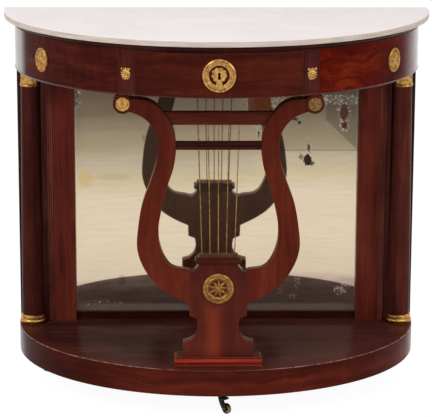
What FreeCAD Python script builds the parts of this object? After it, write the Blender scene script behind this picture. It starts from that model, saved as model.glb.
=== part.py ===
"""Demilune pier table with a lyre support and a mirrored back.

A half-elliptical marble slab lies on a curved frieze with one drawer.  The
frieze stands on a lyre in front and on two columns at the back, beside a
mirror, and all of them stand on a half-elliptical plinth with three casters.

The row frame has +Z up, +X to the table's right as seen from the front and +Y
to the wall.  The origin is on the floor, in the middle of the overall width
and depth.  "Depth" in a formula is measured forward from the back plane.
"""
import FreeCAD, Part
import math
import os
import re
import Sketcher

from FreeCAD import Rotation, Vector

OUT_FOLDER = "parts"

# name, value in millimetres or degrees, what it is
SIZES = (
    ("marble_width", 960, "marble slab over its ends"),
    ("marble_bow", 408, "marble's half-ellipse, front to centre line"),
    ("marble_thickness", 12.5, "marble slab"),
    ("marble_edge", 1.5, "eased arris of the marble"),
    ("plan_centre", 20, "depth of the ellipse centres"),
    ("case_width", 914, "frieze and plinth over their ends"),
    ("case_bow", 386, "frieze and plinth half-ellipse, front to centre line"),
    ("caster_height", 53, "floor to the plinth's lower edge"),
    ("plinth_height", 59, "plinth with its boards"),
    ("column_height", 607, "plinth top to the frieze's lower edge"),
    ("frieze_height", 99, "frieze"),
    ("moulding_height", 15.5, "moulded frame between frieze and marble"),
    ("moulding_lip", 8.5, "moulding's projection over the frieze"),
    ("moulding_round", 8, "ovolo below the moulding's top"),
    ("bead_height", 4.5, "bead below the ovolo"),
    ("bead_lip", 2.6, "bead's projection over the frieze"),
    ("frame_width", 45, "moulded frame, from the frieze face inward"),
    ("frieze_wall", 24, "curved frieze wall"),
    ("foot_bead_height", 3.5, "bead along the frieze's lower edge"),
    ("foot_bead_lip", 1.2, "projection of that bead"),
    ("rear_rail", 20, "rear rails of frieze, frame and plinth"),
    ("brace_width", 34, "cross braces of the top frame"),
    ("brace_offset", 183, "cross braces from the middle line"),
    ("corner_block", 44, "blocks above the columns, across and deep"),
    ("corner_block_height", 38, "blocks above the columns"),
    ("drawer_opening", 363, "between the stiles"),
    ("stile_width", 34, "stiles beside the drawer"),
    ("stile_rear", 322, "depth of the stiles' rear faces"),
    ("drawer_gap", 1, "joint around the drawer front"),
    ("drawer_front_wall", 22, "curved drawer front"),
    ("drawer_rear", 46, "depth of the drawer's rear face"),
    ("drawer_back_wall", 12, "drawer back"),
    ("drawer_wall", 10, "drawer sides"),
    ("drawer_floor", 6, "drawer bottom"),
    ("drawer_floor_rise", 4, "drawer bottom above the sides' lower edge"),
    ("drawer_headroom", 7, "drawer sides below the top frame"),
    ("drawer_side_play", 1.5, "drawer side to stile"),
    ("blade_height", 12, "rail and runners below the drawer"),
    ("blade_setback", 2, "rail behind the drawer front"),
    ("runner_shelf", 14, "runner below the drawer side"),
    ("guide_width", 12, "runner's guide beside the drawer side"),
    ("guide_height", 12, "runner's guide above its shelf"),
    ("slide_gap", 0.1, "running clearance of drawer and bolt"),
    ("cock_bead", 2.2, "cock bead around the drawer front, width"),
    ("cock_bead_lip", 1.2, "cock bead's projection"),
    ("lock_width", 52, "drawer lock"),
    ("lock_height", 58, "drawer lock"),
    ("lock_thickness", 12, "drawer lock"),
    ("lock_drop", 1.2, "lock below the drawer front's top edge"),
    ("bolt_width", 20, "lock bolt"),
    ("bolt_thickness", 5, "lock bolt"),
    ("bolt_length", 26, "lock bolt"),
    ("bolt_travel", 7, "throw of the bolt"),
    ("bolt_cover", 4, "lock's wall in front of the bolt"),
    ("mortise_play", 2, "mortise around the bolt"),
    ("ornament_rise", 50, "centres of the gilt mounts above the frieze's edge"),
    ("mask_rise", 46.5, "centres of the lion masks above the frieze's edge"),
    ("escutcheon_radius", 36, "gilt escutcheon"),
    ("escutcheon_inner", 22, "inside of the escutcheon's ring"),
    ("escutcheon_plate", 16, "keyhole plate"),
    ("escutcheon_foot", 18, "foot that joins plate and ring"),
    ("escutcheon_thickness", 3, "gilt escutcheon in front of the drawer"),
    ("key_radius", 3.2, "keyhole"),
    ("key_clear", 8, "how far a keyhole's cutter stands clear on both sides"),
    ("mask_width", 23, "lion masks"),
    ("mask_height", 29, "lion masks"),
    ("mask_thickness", 8, "lion masks in front of the stile"),
    ("patera_half_width", 21.6, "oval paterae at the frieze's ends"),
    ("patera_half_height", 27, "oval paterae"),
    ("patera_boss", 6, "paterae's boss, half height"),
    ("patera_ring", 5.4, "paterae's ring"),
    ("patera_web", 2.2, "paterae inside the ring"),
    ("patera_thickness", 4, "paterae"),
    ("patera_inset", 72, "paterae from the case's end"),
    ("patera_seat", 1.2, "paterae's back fitted to the curved face"),
    ("column_inset", 32, "column axes from the case's end"),
    ("column_depth", 39, "column axes"),
    ("shaft_top_radius", 20, "column shaft below the capital"),
    ("shaft_foot_radius", 25.5, "column shaft above the base ring"),
    ("dowel_radius", 12, "column dowels"),
    ("dowel_fit", 0.1, "capital and base ring around the dowel"),
    ("capital_height", 46, "gilt capital"),
    ("capital_radius", 22.6, "gilt capital at its top"),
    ("capital_neck", 20.4, "gilt capital above its ring"),
    ("capital_ring", 6, "ring at the capital's lower edge, height"),
    ("capital_ring_radius", 22.4, "ring at the capital's lower edge"),
    ("ring_height", 22, "gilt base ring"),
    ("ring_radius", 30.5, "gilt base ring's torus"),
    ("ring_torus", 14, "gilt base ring's torus, height"),
    ("ring_collar", 28, "gilt base ring's collar"),
    ("ring_soft", 3.5, "chamfer of the torus"),
    ("rear_board", 8, "rear board"),
    ("rear_board_inset", 1, "rear board's ends inside the case"),
    ("glass", 4, "mirror plate"),
    ("mirror_margin", 132, "mirror in sight to the case's end"),
    ("mirror_rebate", 6, "mirror behind its frame"),
    ("rebate_play", 0.2, "mirror in its rebate"),
    ("post_depth", 22, "posts beside the mirror, rear board to face"),
    ("post_width", 50, "posts beside the mirror"),
    ("mirror_foot_rail", 18.5, "mirror rail on the plinth"),
    ("mirror_head_rail", 30, "mirror rail below the frieze"),
    ("mirror_rail_depth", 12, "mirror rails, rear board to face"),
    ("strip_width", 27, "reeded strip beside the post"),
    ("strip_depth", 9, "reeded strip, rear board to its flat band"),
    ("reed_radius", 2.4, "reeds of the strip"),
    ("reed_count", 3, "reeds of the strip"),
    ("reed_depth", 18, "rear board to the reeds' centres"),
    ("base_board", 20, "boards on the plinth"),
    ("base_joint", 139, "joint between the plinth's boards, from the front"),
    ("plinth_wall", 22, "curved plinth wall"),
    ("caster_block", 76, "blocks over the casters"),
    ("caster_block_height", 32, "blocks over the casters"),
    ("lyre_setback", 44, "lyre's face behind the frieze's bow"),
    ("lyre_thickness", 34, "lyre"),
    ("arm_scroll_out", 206, "scroll and end of the arm: distance from the axis"),
    ("arm_scroll_drop", 20.5, "the same, below the frieze"),
    ("arm_scroll_band", 24, "the same, width of the arm"),
    ("arm_crook_out", 150.5, "arm's crook"),
    ("arm_crook_drop", 35.5, "arm's crook"),
    ("arm_crook_band", 39, "arm's crook"),
    ("arm_shoulder_out", 129.5, "arm's shoulder"),
    ("arm_shoulder_drop", 57, "arm's shoulder"),
    ("arm_shoulder_band", 37.5, "arm's shoulder"),
    ("arm_bend_out", 115.5, "arm below the shoulder"),
    ("arm_bend_drop", 84, "arm below the shoulder"),
    ("arm_bend_band", 38.5, "arm below the shoulder"),
    ("arm_waist_out", 111.5, "arm at the lower bar"),
    ("arm_waist_drop", 119, "arm at the lower bar"),
    ("arm_waist_band", 39, "arm at the lower bar"),
    ("arm_narrow_out", 115, "arm below the waist"),
    ("arm_narrow_drop", 152, "arm below the waist"),
    ("arm_narrow_band", 38.5, "arm below the waist"),
    ("arm_flare_out", 129, "arm above the belly"),
    ("arm_flare_rise", 409, "arm above the belly, over the plinth"),
    ("arm_flare_band", 38, "arm above the belly"),
    ("arm_swell_out", 144.5, "arm's belly, upper part"),
    ("arm_swell_rise", 357, "arm's belly, upper part"),
    ("arm_swell_band", 43, "arm's belly, upper part"),
    ("arm_belly_out", 152, "arm's belly"),
    ("arm_belly_rise", 312, "arm's belly"),
    ("arm_belly_band", 44, "arm's belly"),
    ("arm_hip_out", 151.5, "arm below the belly"),
    ("arm_hip_rise", 265, "arm below the belly"),
    ("arm_hip_band", 50, "arm below the belly"),
    ("arm_sweep_out", 119.5, "arm's sweep to the block"),
    ("arm_sweep_rise", 203.5, "arm's sweep to the block"),
    ("arm_sweep_band", 51.5, "arm's sweep to the block"),
    ("arm_root_rise", 175.5, "arm at the block"),
    ("arm_root_band", 73.5, "arm at the block"),
    ("scroll_radius", 21, "round scroll end of an arm"),
    ("scroll_proud", 3, "scroll's face in front of the arm"),
    ("block_half", 62, "lyre's block beside the arms, half width"),
    ("block_rise", 212.5, "top of the block above the plinth"),
    ("cove_half", 54.5, "foot of the cove on the block, half width"),
    ("cove_top_half", 43.3, "top of the cove, half width"),
    ("cove_sag", 1.5, "hollow of the cove"),
    ("cove_height", 13, "cove below the string shelf"),
    ("step_half", 64, "ledge below the arms, half width"),
    ("step_rise", 138, "upper edge of the ledge"),
    ("step_foot_half", 62.5, "lower edge of the ledge, half width"),
    ("step_foot_rise", 112, "lower edge of the ledge"),
    ("neck_top_half", 47, "top of the neck, half width"),
    ("neck_top_rise", 106, "top of the neck"),
    ("neck_half", 44.8, "narrowest place of the neck, half width"),
    ("neck_rise", 85, "narrowest place of the neck"),
    ("neck_flare_half", 49, "neck's flare, half width"),
    ("neck_flare_rise", 68.5, "neck's flare"),
    ("neck_curl_half", 59, "neck's lower curl, half width"),
    ("neck_curl_rise", 56, "neck's lower curl"),
    ("foot_half", 78, "foot block, half width"),
    ("foot_rise", 49.3, "upper edge of the foot block"),
    ("foot_plate_width", 194, "moulded plate under the lyre"),
    ("foot_plate_depth", 62, "moulded plate under the lyre"),
    ("foot_plate_height", 17.5, "moulded plate under the lyre"),
    ("foot_plate_lip", 10, "plate in front of the lyre's face"),
    ("foot_plate_round", 5, "rounded upper edge of the plate"),
    ("shelf_half", 50.5, "string shelf, half width"),
    ("shelf_height", 10, "string shelf"),
    ("shelf_lip", 4, "string shelf in front of and behind the lyre"),
    ("shelf_fillet", 5, "fillet below the string shelf, height"),
    ("shelf_round", 3, "rounded edges of the shelf"),
    ("shelf_cap_half", 43, "flat cap on the string shelf, half width"),
    ("shelf_cap_height", 6, "flat cap on the string shelf"),
    ("shelf_cap_lip", 1.5, "cap in front of and behind the lyre"),
    ("upper_bar_drop", 40.5, "top of the upper bar below the frieze"),
    ("upper_bar_height", 27.5, "upper bar"),
    ("upper_bar_thickness", 20, "upper bar"),
    ("upper_bar_setback", 8, "upper bar behind the lyre's face"),
    ("upper_bar_half", 120, "upper bar before it is cut to the arms"),
    ("lower_bar_drop", 104, "top of the lower bar below the frieze"),
    ("lower_bar_height", 18.5, "lower bar"),
    ("lower_bar_thickness", 8, "lower bar behind its reeds"),
    ("lower_bar_setback", 6, "reeds' centres behind the lyre's face"),
    ("lower_bar_half", 100, "lower bar before it is cut to the arms"),
    ("string_count", 5, "brass strings"),
    ("string_radius", 1.2, "brass strings"),
    ("string_spread_top", 22.3, "spacing at the upper bar"),
    ("string_spread_foot", 17.8, "spacing at the shelf"),
    ("string_setback", 18, "strings behind the lyre's face"),
    ("string_fit", 0.05, "strings short of their seats"),
    ("medallion_radius", 34, "gilt medallion"),
    ("medallion_ring", 8, "medallion's ring"),
    ("medallion_web", 2, "medallion inside the ring"),
    ("medallion_rise", 175, "medallion's centre above the plinth"),
    ("medallion_thickness", 4, "gilt medallion"),
    ("roundel_radius", 15, "gilt discs on the scrolls"),
    ("roundel_thickness", 3, "gilt discs on the scrolls"),
    ("caster_plate", 3, "caster's plate"),
    ("caster_plate_radius", 20, "caster's plate"),
    ("barrel_radius", 6.8, "fixed barrel of the caster"),
    ("barrel_length", 19, "fixed barrel of the caster"),
    ("pin_radius", 3, "swivel pin"),
    ("pin_play", 0.05, "running clearance of pin, horn and axle"),
    ("pin_drop", 1, "pin's top below the block"),
    ("crown_radius", 7.4, "crown of the horn"),
    ("crown_height", 5, "crown of the horn"),
    ("fork_height", 4.5, "fork of the horn below its crown"),
    ("ear", 2.2, "ears of the horn"),
    ("ear_end", 5.5, "rounded lower end of an ear"),
    ("ear_root", 6.7, "ear's upper corner behind the pin"),
    ("wheel_radius", 12, "caster wheel"),
    ("wheel_width", 9, "caster wheel"),
    ("wheel_play", 0.3, "wheel to ear"),
    ("wheel_crown", 1.6, "chamfer of the wheel's rim"),
    ("axle_radius", 2, "caster axle"),
    ("axle_head", 0.8, "axle's end outside the ear"),
    ("trail", 14, "wheel's centre from the swivel axis"),
    ("front_caster_out", 10, "front caster from the middle line"),
    ("front_caster_setback", 50, "front caster behind the plinth's bow"),
    ("front_caster_turn", -50, "front caster's direction, degrees from +X"),
    ("rear_caster_inset", 77, "rear casters from the case's end"),
    ("rear_caster_depth", 64, "rear casters"),
    ("rear_left_caster_turn", 205, "rear left caster's direction"),
    ("rear_right_caster_turn", -35, "rear right caster's direction"),
)
NAMES = {entry[0] for entry in SIZES}

doc = FreeCAD.newDocument("pier_table")
sheet = doc.addObject("Spreadsheet::Sheet", "Sizes")
for row, (name, size, note) in enumerate(SIZES, start=1):
    sheet.set(f"A{row}", name)
    sheet.set(f"B{row}", str(size))
    sheet.set(f"C{row}", note)
    sheet.setAlias(f"B{row}", name)
doc.recompute()

# Heights, depths and offsets that several pieces share, as formulas on the sheet.
REAR = "((plan_centre + marble_bow) / 2)"
Z_BASE = "(caster_height + plinth_height)"
Z_BOARDS = f"({Z_BASE} - base_board)"
Z_FRIEZE = f"({Z_BASE} + column_height)"
Z_FRAME = f"({Z_FRIEZE} + frieze_height)"
Z_MARBLE = f"({Z_FRAME} + moulding_height)"
Z_ORNAMENT = f"({Z_FRIEZE} + ornament_rise)"
Z_RUNNER = f"({Z_FRIEZE} + blade_height)"
Z_SIDE = f"({Z_RUNNER} + slide_gap)"
Z_PLATE = f"({Z_BOARDS} - caster_block_height - caster_plate)"
Z_CROWN = f"({Z_PLATE} - barrel_length + caster_plate - pin_play)"
CASE_HALF = "(case_width / 2)"
CASE_FRONT = "(plan_centre + case_bow)"
LYRE_FACE = f"({CASE_FRONT} - lyre_setback)"
STILE_INSIDE = "(drawer_opening / 2)"
DRAWER_HALF = "(drawer_opening / 2 - drawer_side_play)"
MIRROR_HALF = f"({CASE_HALF} - mirror_margin)"
POST_OUTSIDE = f"({MIRROR_HALF} + post_width)"
MOUNT_TOP = f"({Z_FRAME} - drawer_gap)"

nodes = {}


def cell(alias):
    """Return the number in the cell with this alias."""
    return float(sheet.get(alias))


def formula(text):
    """Return an expression in which every size name points at its cell."""
    return re.sub(r"[a-z][a-z_]+", lambda m: ("Sizes." if m[0] in NAMES else "") + m[0], text)


def bind(item, **formulas):
    """Bind properties of an object to formulas on the sheet."""
    for path, text in formulas.items():
        item.setExpression(path, formula(text))
    return item


def place(item, x, depth, z):
    """Place an object at x, at a depth forward of the back plane, and at z."""
    item.setExpression("Placement.Base.x", formula(x))
    item.setExpression("Placement.Base.y", formula(f"{REAR} - ({depth})"))
    item.setExpression("Placement.Base.z", formula(z))
    return item


def keep(name, item):
    """Register an object as the sub-part of this name."""
    item.Label = name
    nodes[name] = item
    return item


def box(label, length, width, height, x, front, z):
    """Part box that starts at x, its front face at a depth and its foot at z."""
    item = doc.addObject("Part::Box", label)
    bind(item, Length=length, Width=width, Height=height)
    return place(item, x, front, z)


def cylinder(label, radius, height, x, depth, z, axis=Vector(0, 0, 1)):
    """Part cylinder from a point along an axis."""
    item = doc.addObject("Part::Cylinder", label)
    bind(item, Radius=radius, Height=height)
    item.Placement.Rotation = Rotation(Vector(0, 0, 1), axis)
    return place(item, x, depth, z)


FORWARD = Vector(0, -1, 0)
RIGHTWARD = Vector(1, 0, 0)


def outline(sketch, points):
    """Draw a closed polygon, each corner bound by two distances from the origin."""
    count = len(points)
    corners = [(20.0 + 9.0 * math.cos(2 * math.pi * k / count),
                20.0 + 9.0 * math.sin(2 * math.pi * k / count)) for k in range(count)]
    for k in range(count):
        ends = (Vector(*corners[k], 0), Vector(*corners[(k + 1) % count], 0))
        sketch.addGeometry(Part.LineSegment(*ends), False)
    for k in range(count):
        sketch.addConstraint(Sketcher.Constraint("Coincident", k, 2, (k + 1) % count, 1))
    for k, corner in enumerate(points):
        for axis, kind, place_now, text in ((-2, "DistanceX", corners[k][0], corner[0]),
                                            (-1, "DistanceY", corners[k][1], corner[1])):
            if text == "0":
                sketch.addConstraint(Sketcher.Constraint("PointOnObject", k, 1, axis))
                continue
            number = sketch.addConstraint(Sketcher.Constraint(kind, -1, 1, k, 1, place_now))
            sketch.setExpression(f"Constraints[{number}]", formula(text))


def new_sketch(body, role, points):
    """Add a sketch with a polygon to one of the body's origin planes."""
    sketch = body.newObject("Sketcher::SketchObject", f"{body.Name}_sketch")
    plane = next(f for f in body.Origin.OriginFeatures if f.Role == role)
    sketch.AttachmentSupport = [(plane, "")]
    sketch.MapMode = "FlatFace"
    outline(sketch, points)
    return sketch


def board(name, length, width, height, x, front, z):
    """Straight board: a padded rectangle that starts at x, its front at a depth."""
    body = doc.addObject("PartDesign::Body", name)
    sketch = new_sketch(body, "XY_Plane", (("0", "0"), (length, "0"), (length, width), ("0", width)))
    pad = body.newObject("PartDesign::Pad", f"{name}_pad")
    pad.Profile = sketch
    pad.setExpression("Length", formula(height))
    body.Tip = pad
    return place(body, x, front, z)


def turned(name, points, x, depth, z, axis=Vector(0, 0, 1)):
    """Turned piece: an outline of radius and height, revolved about an axis."""
    body = doc.addObject("PartDesign::Body", name)
    sketch = new_sketch(body, "XZ_Plane", points)
    turn = body.newObject("PartDesign::Revolution", f"{name}_turn")
    turn.Profile = sketch
    turn.ReferenceAxis = (sketch, ["V_Axis"])
    turn.Angle = 360
    body.Tip = turn
    body.Placement.Rotation = Rotation(Vector(0, 0, 1), axis)
    return place(body, x, depth, z)


def combine(kind, label, base, tool):
    """Boolean of two objects; kind is Cut, Fuse or Common."""
    item = doc.addObject(f"Part::{kind}", label)
    item.Base = base
    item.Tool = tool
    return item


def mirrored(label, source):
    """Mirror image of an object in the table's middle plane."""
    item = doc.addObject("Part::Mirroring", label)
    item.Source = source
    item.Normal = RIGHTWARD
    item.Base = Vector(0, 0, 0)
    return item


def pair(name, right):
    """Register a right-hand piece and its mirror image."""
    keep(f"{name}_right", right)
    keep(f"{name}_left", mirrored(f"{name}_left", right))


def group(label, *items):
    """Compound of several separate solids."""
    item = doc.addObject("Part::Compound", label)
    item.Links = list(items)
    return item


def plan_slab(label, inset, z, height):
    """Slab of the case's plan, its edge inset by a distance."""
    half = f"({CASE_HALF} - ({inset}))"
    bow = f"(case_bow - ({inset}))"
    return bowed_slab(label, half, bow, z, height)


def bowed_slab(label, half, bow, z, height):
    """Slab with a half-elliptical front and straight ends back to the wall."""
    rim = doc.addObject("Part::Ellipse", f"{label}_rim")
    bind(rim, MajorRadius=f"max({half}; {bow})", MinorRadius=f"min({half}; {bow})")
    rim.setExpression("Placement.Rotation.Angle", formula(f"{bow} > {half} ? 90 : 0"))
    place(rim, "0", "plan_centre", z)
    drum = doc.addObject("Part::Extrusion", f"{label}_drum")
    drum.Base = rim
    drum.DirMode = "Custom"
    drum.Dir = Vector(0, 0, 1)
    drum.Solid = True
    bind(drum, LengthFwd=height)
    ahead = box(f"{label}_ahead", f"2 * {half}", bow, height, f"-{half}", f"plan_centre + {bow}", z)
    front = combine("Common", f"{label}_front", drum, ahead)
    straight = box(f"{label}_straight", f"2 * {half}", "plan_centre", height,
                   f"-{half}", "plan_centre", z)
    slab = combine("Fuse", label, front, straight)
    slab.Refine = True
    return slab


def edges_at(shape, z):
    """Numbers of the edges that lie flat at a height, the back plane's left out."""
    rear = max(vertex.Y for vertex in shape.Vertexes)
    return [number for number, edge in enumerate(shape.Edges, start=1)
            if abs(edge.BoundBox.ZMin - z) < 0.02 and abs(edge.BoundBox.ZMax - z) < 0.02
            and edge.BoundBox.YMin < rear - 0.02]


def rounded(label, source, radius, upper):
    """Fillet along the upper or lower rim of a slab, except at the back."""
    doc.recompute()
    bounds = source.Shape.BoundBox
    item = doc.addObject("Part::Fillet", label)
    item.Base = source
    level = bounds.ZMax if upper else bounds.ZMin
    item.Edges = [(number, radius, radius) for number in edges_at(source.Shape, level)]
    return item


def face_turn(x):
    """Angle about Z between the case's curved face at x and the straight front."""
    half = cell("case_width") / 2
    bow = cell("case_bow")
    ahead = bow * math.sqrt(1 - (x / half) ** 2)
    return math.degrees(math.atan2(x * bow ** 2, ahead * half ** 2))


def face_depth(x):
    """Formula of the case's face depth at an x formula."""
    return f"(plan_centre + case_bow * sqrt(1 - ({x} / {CASE_HALF}) ^ 2))"


def feature(name, shape):
    """Part feature with a shape made by Part's own functions."""
    item = doc.addObject("Part::Feature", name)
    item.Shape = shape
    return item


# ------------------------------------------------------------------ marble and top frame


def build_marble():
    """Marble slab with an eased arris along its top."""
    slab = bowed_slab("marble_slab", "(marble_width / 2)", "marble_bow", Z_MARBLE,
                      "marble_thickness")
    keep("marble_top", rounded("marble_top", slab, cell("marble_edge"), True))


def build_top_frame():
    """Moulded curved frame, its rear rail and braces, and blocks above the columns."""
    upper = plan_slab("ovolo_slab", "-moulding_lip", f"{Z_FRAME} + bead_height",
                      "moulding_height - bead_height")
    lower = plan_slab("bead_slab", "-bead_lip", Z_FRAME, "bead_height")
    profile = combine("Fuse", "moulding_profile",
                      rounded("ovolo", upper, cell("moulding_round"), False), lower)
    hollow = plan_slab("frame_hollow", "frame_width", Z_FRAME, "moulding_height")
    ring = combine("Cut", "moulding_ring", profile, hollow)
    mortise = box("bolt_mortise", "bolt_width + 2 * mortise_play",
                  "bolt_thickness + 2 * mortise_play", "bolt_travel + mortise_play",
                  "-bolt_width / 2 - mortise_play",
                  f"{CASE_FRONT} - drawer_front_wall - bolt_cover + mortise_play", Z_FRAME)
    keep("top_moulding", combine("Cut", "top_moulding", ring, mortise))
    bar = box("frame_rear_bar", "case_width", "rear_rail", "moulding_height",
              f"-{CASE_HALF}", "rear_rail", Z_FRAME)
    rear = combine("Common", "frame_rear_rail", hollow, bar)
    strip = box("brace_bar", "brace_width", f"{CASE_FRONT} - rear_rail", "moulding_height",
                "brace_offset", CASE_FRONT, Z_FRAME)
    brace = combine("Common", "brace_right", hollow, strip)
    inside = plan_slab("corner_bounds", "frieze_wall", Z_FRIEZE, "corner_block_height")
    bar = box("corner_bar", "corner_block", "corner_block", "corner_block_height",
              f"{CASE_HALF} - frieze_wall - corner_block", "rear_rail + corner_block", Z_FRIEZE)
    block = combine("Common", "corner_block_right", inside, bar)
    keep("top_frame_rails", group("top_frame_rails", rear, brace, mirrored("brace_left", brace),
                                  block, mirrored("corner_block_left", block)))


# ------------------------------------------------------------------------------- frieze


def build_frieze():
    """Curved frieze walls, stiles, rear rail and the drawer's bearers."""
    plain = plan_slab("frieze_face", "0", Z_FRIEZE, "frieze_height")
    bead = plan_slab("frieze_bead", "-foot_bead_lip", Z_FRIEZE, "foot_bead_height")
    solid = combine("Fuse", "frieze_solid", plain, bead)
    hollow = plan_slab("frieze_hollow", "frieze_wall", Z_FRIEZE, "frieze_height")
    shell = combine("Cut", "frieze_shell", solid, hollow)
    stile_outside = f"({STILE_INSIDE} + stile_width)"
    side = box("frieze_side", f"{CASE_HALF} + foot_bead_lip - {stile_outside}",
               f"{CASE_FRONT} + foot_bead_lip", "frieze_height", stile_outside,
               f"{CASE_FRONT} + foot_bead_lip", Z_FRIEZE)
    pair("frieze_panel", combine("Common", "frieze_panel_right", shell, side))
    bar = box("stile_bar", "stile_width", f"{CASE_FRONT} + foot_bead_lip - stile_rear",
              "frieze_height", STILE_INSIDE, f"{CASE_FRONT} + foot_bead_lip", Z_FRIEZE)
    pair("drawer_stile", combine("Common", "drawer_stile_right", solid, bar))
    rear = board("frieze_rear_rail", f"2 * ({CASE_HALF} - frieze_wall)", "rear_rail", "frieze_height",
                 f"-({CASE_HALF} - frieze_wall)", "rear_rail", Z_FRIEZE)
    keep("frieze_rear_rail", rear)


def build_drawer_bearers():
    """Curved rail and two runners with guides, on which the drawer slides."""
    inside = plan_slab("blade_bounds", "drawer_front_wall + blade_setback", Z_FRIEZE,
                       "blade_height")
    bar = box("blade_bar", "drawer_opening", f"{CASE_FRONT} - stile_rear", "blade_height",
              f"-{STILE_INSIDE}", CASE_FRONT, Z_FRIEZE)
    blade = combine("Common", "drawer_blade", inside, bar)
    shelf = box("runner_shelf", "runner_shelf + guide_width", "stile_rear - rear_rail",
                "blade_height", f"{STILE_INSIDE} - runner_shelf", "stile_rear", Z_FRIEZE)
    guide = box("runner_guide", "guide_width", "stile_rear - rear_rail", "guide_height",
                STILE_INSIDE, "stile_rear", Z_RUNNER)
    runner = combine("Fuse", "runner_right", shelf, guide)
    keep("drawer_bearers", group("drawer_bearers", blade, runner, mirrored("runner_left", runner)))


# ------------------------------------------------------------------------------- drawer


def build_drawer():
    """Bow-fronted drawer: front, sides, back, bottom and cock bead."""
    front_z = f"{Z_FRIEZE} + drawer_gap"
    front_height = "frieze_height - 2 * drawer_gap"
    front_half = f"({STILE_INSIDE} - drawer_gap)"
    outer = plan_slab("drawer_bow", "0", front_z, front_height)
    inner = plan_slab("drawer_hollow", "drawer_front_wall", front_z, front_height)
    shell = combine("Cut", "drawer_shell", outer, inner)
    bar = box("drawer_bar", f"2 * {front_half}", "case_bow", front_height,
              f"-{front_half}", CASE_FRONT, front_z)
    blank = combine("Common", "drawer_blank", shell, bar)
    hole = cylinder("drawer_keyhole", "key_radius", "drawer_front_wall + 2 * key_clear", "0",
                    f"{CASE_FRONT} - drawer_front_wall - key_clear", Z_ORNAMENT, FORWARD)
    keep("drawer_front", combine("Cut", "drawer_front", blank, hole))
    side_height = f"{Z_FRAME} - drawer_headroom - {Z_SIDE}"
    side = box("drawer_side_bar", "drawer_wall", f"{CASE_FRONT} - drawer_rear", side_height,
               f"{DRAWER_HALF} - drawer_wall", CASE_FRONT, Z_SIDE)
    pair("drawer_side", combine("Common", "drawer_side_right", inner, side))
    inside = f"({DRAWER_HALF} - drawer_wall)"
    keep("drawer_back", board("drawer_back", f"2 * {inside}", "drawer_back_wall", side_height,
                              f"-{inside}", "drawer_rear + drawer_back_wall", Z_SIDE))
    floor_rear = "(drawer_rear + drawer_back_wall)"
    floor = box("drawer_floor_bar", f"2 * {inside}", f"{CASE_FRONT} - {floor_rear}", "drawer_floor",
                f"-{inside}", CASE_FRONT, f"{Z_SIDE} + drawer_floor_rise")
    keep("drawer_bottom", combine("Common", "drawer_bottom", inner, floor))
    proud = plan_slab("bead_bow", "-cock_bead_lip", front_z, front_height)
    skin = combine("Cut", "bead_skin", proud, outer)
    frame = box("bead_outside", f"2 * {front_half}", "case_bow", front_height,
                f"-{front_half}", f"{CASE_FRONT} + cock_bead_lip", front_z)
    field = box("bead_inside", f"2 * ({front_half} - cock_bead)", "case_bow",
                f"{front_height} - 2 * cock_bead", f"-{front_half} + cock_bead",
                f"{CASE_FRONT} + cock_bead_lip", f"{front_z} + cock_bead")
    ring = combine("Cut", "bead_frame", frame, field)
    keep("drawer_beads", combine("Common", "drawer_beads", skin, ring))
    return inner, outer


def build_lock(inner):
    """Lock behind the drawer front, and its bolt, drawn back into the case."""
    top = f"({MOUNT_TOP} - lock_drop)"
    bolt_front = f"({CASE_FRONT} - drawer_front_wall - bolt_cover)"
    body = box("lock_body", "lock_width", "lock_thickness + drawer_front_wall", "lock_height",
               "-lock_width / 2", CASE_FRONT, f"{top} - lock_height")
    fitted = combine("Common", "lock_fitted", inner, body)
    channel = box("lock_channel", "bolt_width + 2 * slide_gap", "bolt_thickness + 2 * slide_gap",
                  "bolt_length + slide_gap", "-bolt_width / 2 - slide_gap",
                  f"{bolt_front} + slide_gap", f"{top} - bolt_length - slide_gap")
    cased = combine("Cut", "lock_cased", fitted, channel)
    hole = cylinder("lock_keyhole", "key_radius", "lock_thickness + 2 * key_clear", "0",
                    f"{CASE_FRONT} - drawer_front_wall - lock_thickness - key_clear", Z_ORNAMENT,
                    FORWARD)
    keep("lock_case", combine("Cut", "lock_case", cased, hole))
    keep("lock_bolt", board("lock_bolt", "bolt_width", "bolt_thickness", "bolt_length",
                            "-bolt_width / 2", bolt_front, f"{top} - bolt_length"))


# ---------------------------------------------------------------------------- gilt mounts


def build_escutcheon(outer):
    """Openwork ring with a keyhole plate on a flared foot, fitted to the bowed drawer."""
    rear = f"{CASE_FRONT} - drawer_front_wall / 2"
    depth = "escutcheon_thickness + drawer_front_wall / 2"
    rim = cylinder("escutcheon_rim", "escutcheon_radius", depth, "0", rear, Z_ORNAMENT, FORWARD)
    gap = cylinder("escutcheon_gap", "escutcheon_inner", depth, "0", rear, Z_ORNAMENT, FORWARD)
    ring = combine("Cut", "escutcheon_ring", rim, gap)
    plate = cylinder("escutcheon_plate", "escutcheon_plate", depth, "0", rear, Z_ORNAMENT, FORWARD)
    joined = combine("Fuse", "escutcheon_joined", ring, plate)
    reach = "(escutcheon_radius + escutcheon_inner) / 2"
    foot = box("escutcheon_foot", "escutcheon_foot", depth, reach, "-escutcheon_foot / 2",
               f"{CASE_FRONT} + escutcheon_thickness", f"{Z_ORNAMENT} - {reach}")
    footed = combine("Fuse", "escutcheon_footed", joined, foot)
    hole = cylinder("escutcheon_keyhole", "key_radius", f"2 * ({depth})", "0", rear,
                    Z_ORNAMENT, FORWARD)
    pierced = combine("Cut", "escutcheon_pierced", footed, hole)
    keep("escutcheon", combine("Cut", "escutcheon", pierced, outer))


def oval(half_width, half_height, back, front):
    """Upright elliptical prism around the origin, between two distances ahead of it."""
    curve = Part.Ellipse(Vector(0, 0, half_height), Vector(half_width, 0, 0), Vector(0, 0, 0))
    face = Part.Face(Part.Wire(curve.toShape()))
    face.translate(FORWARD * back)
    return face.extrude(FORWARD * (front - back))


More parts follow.
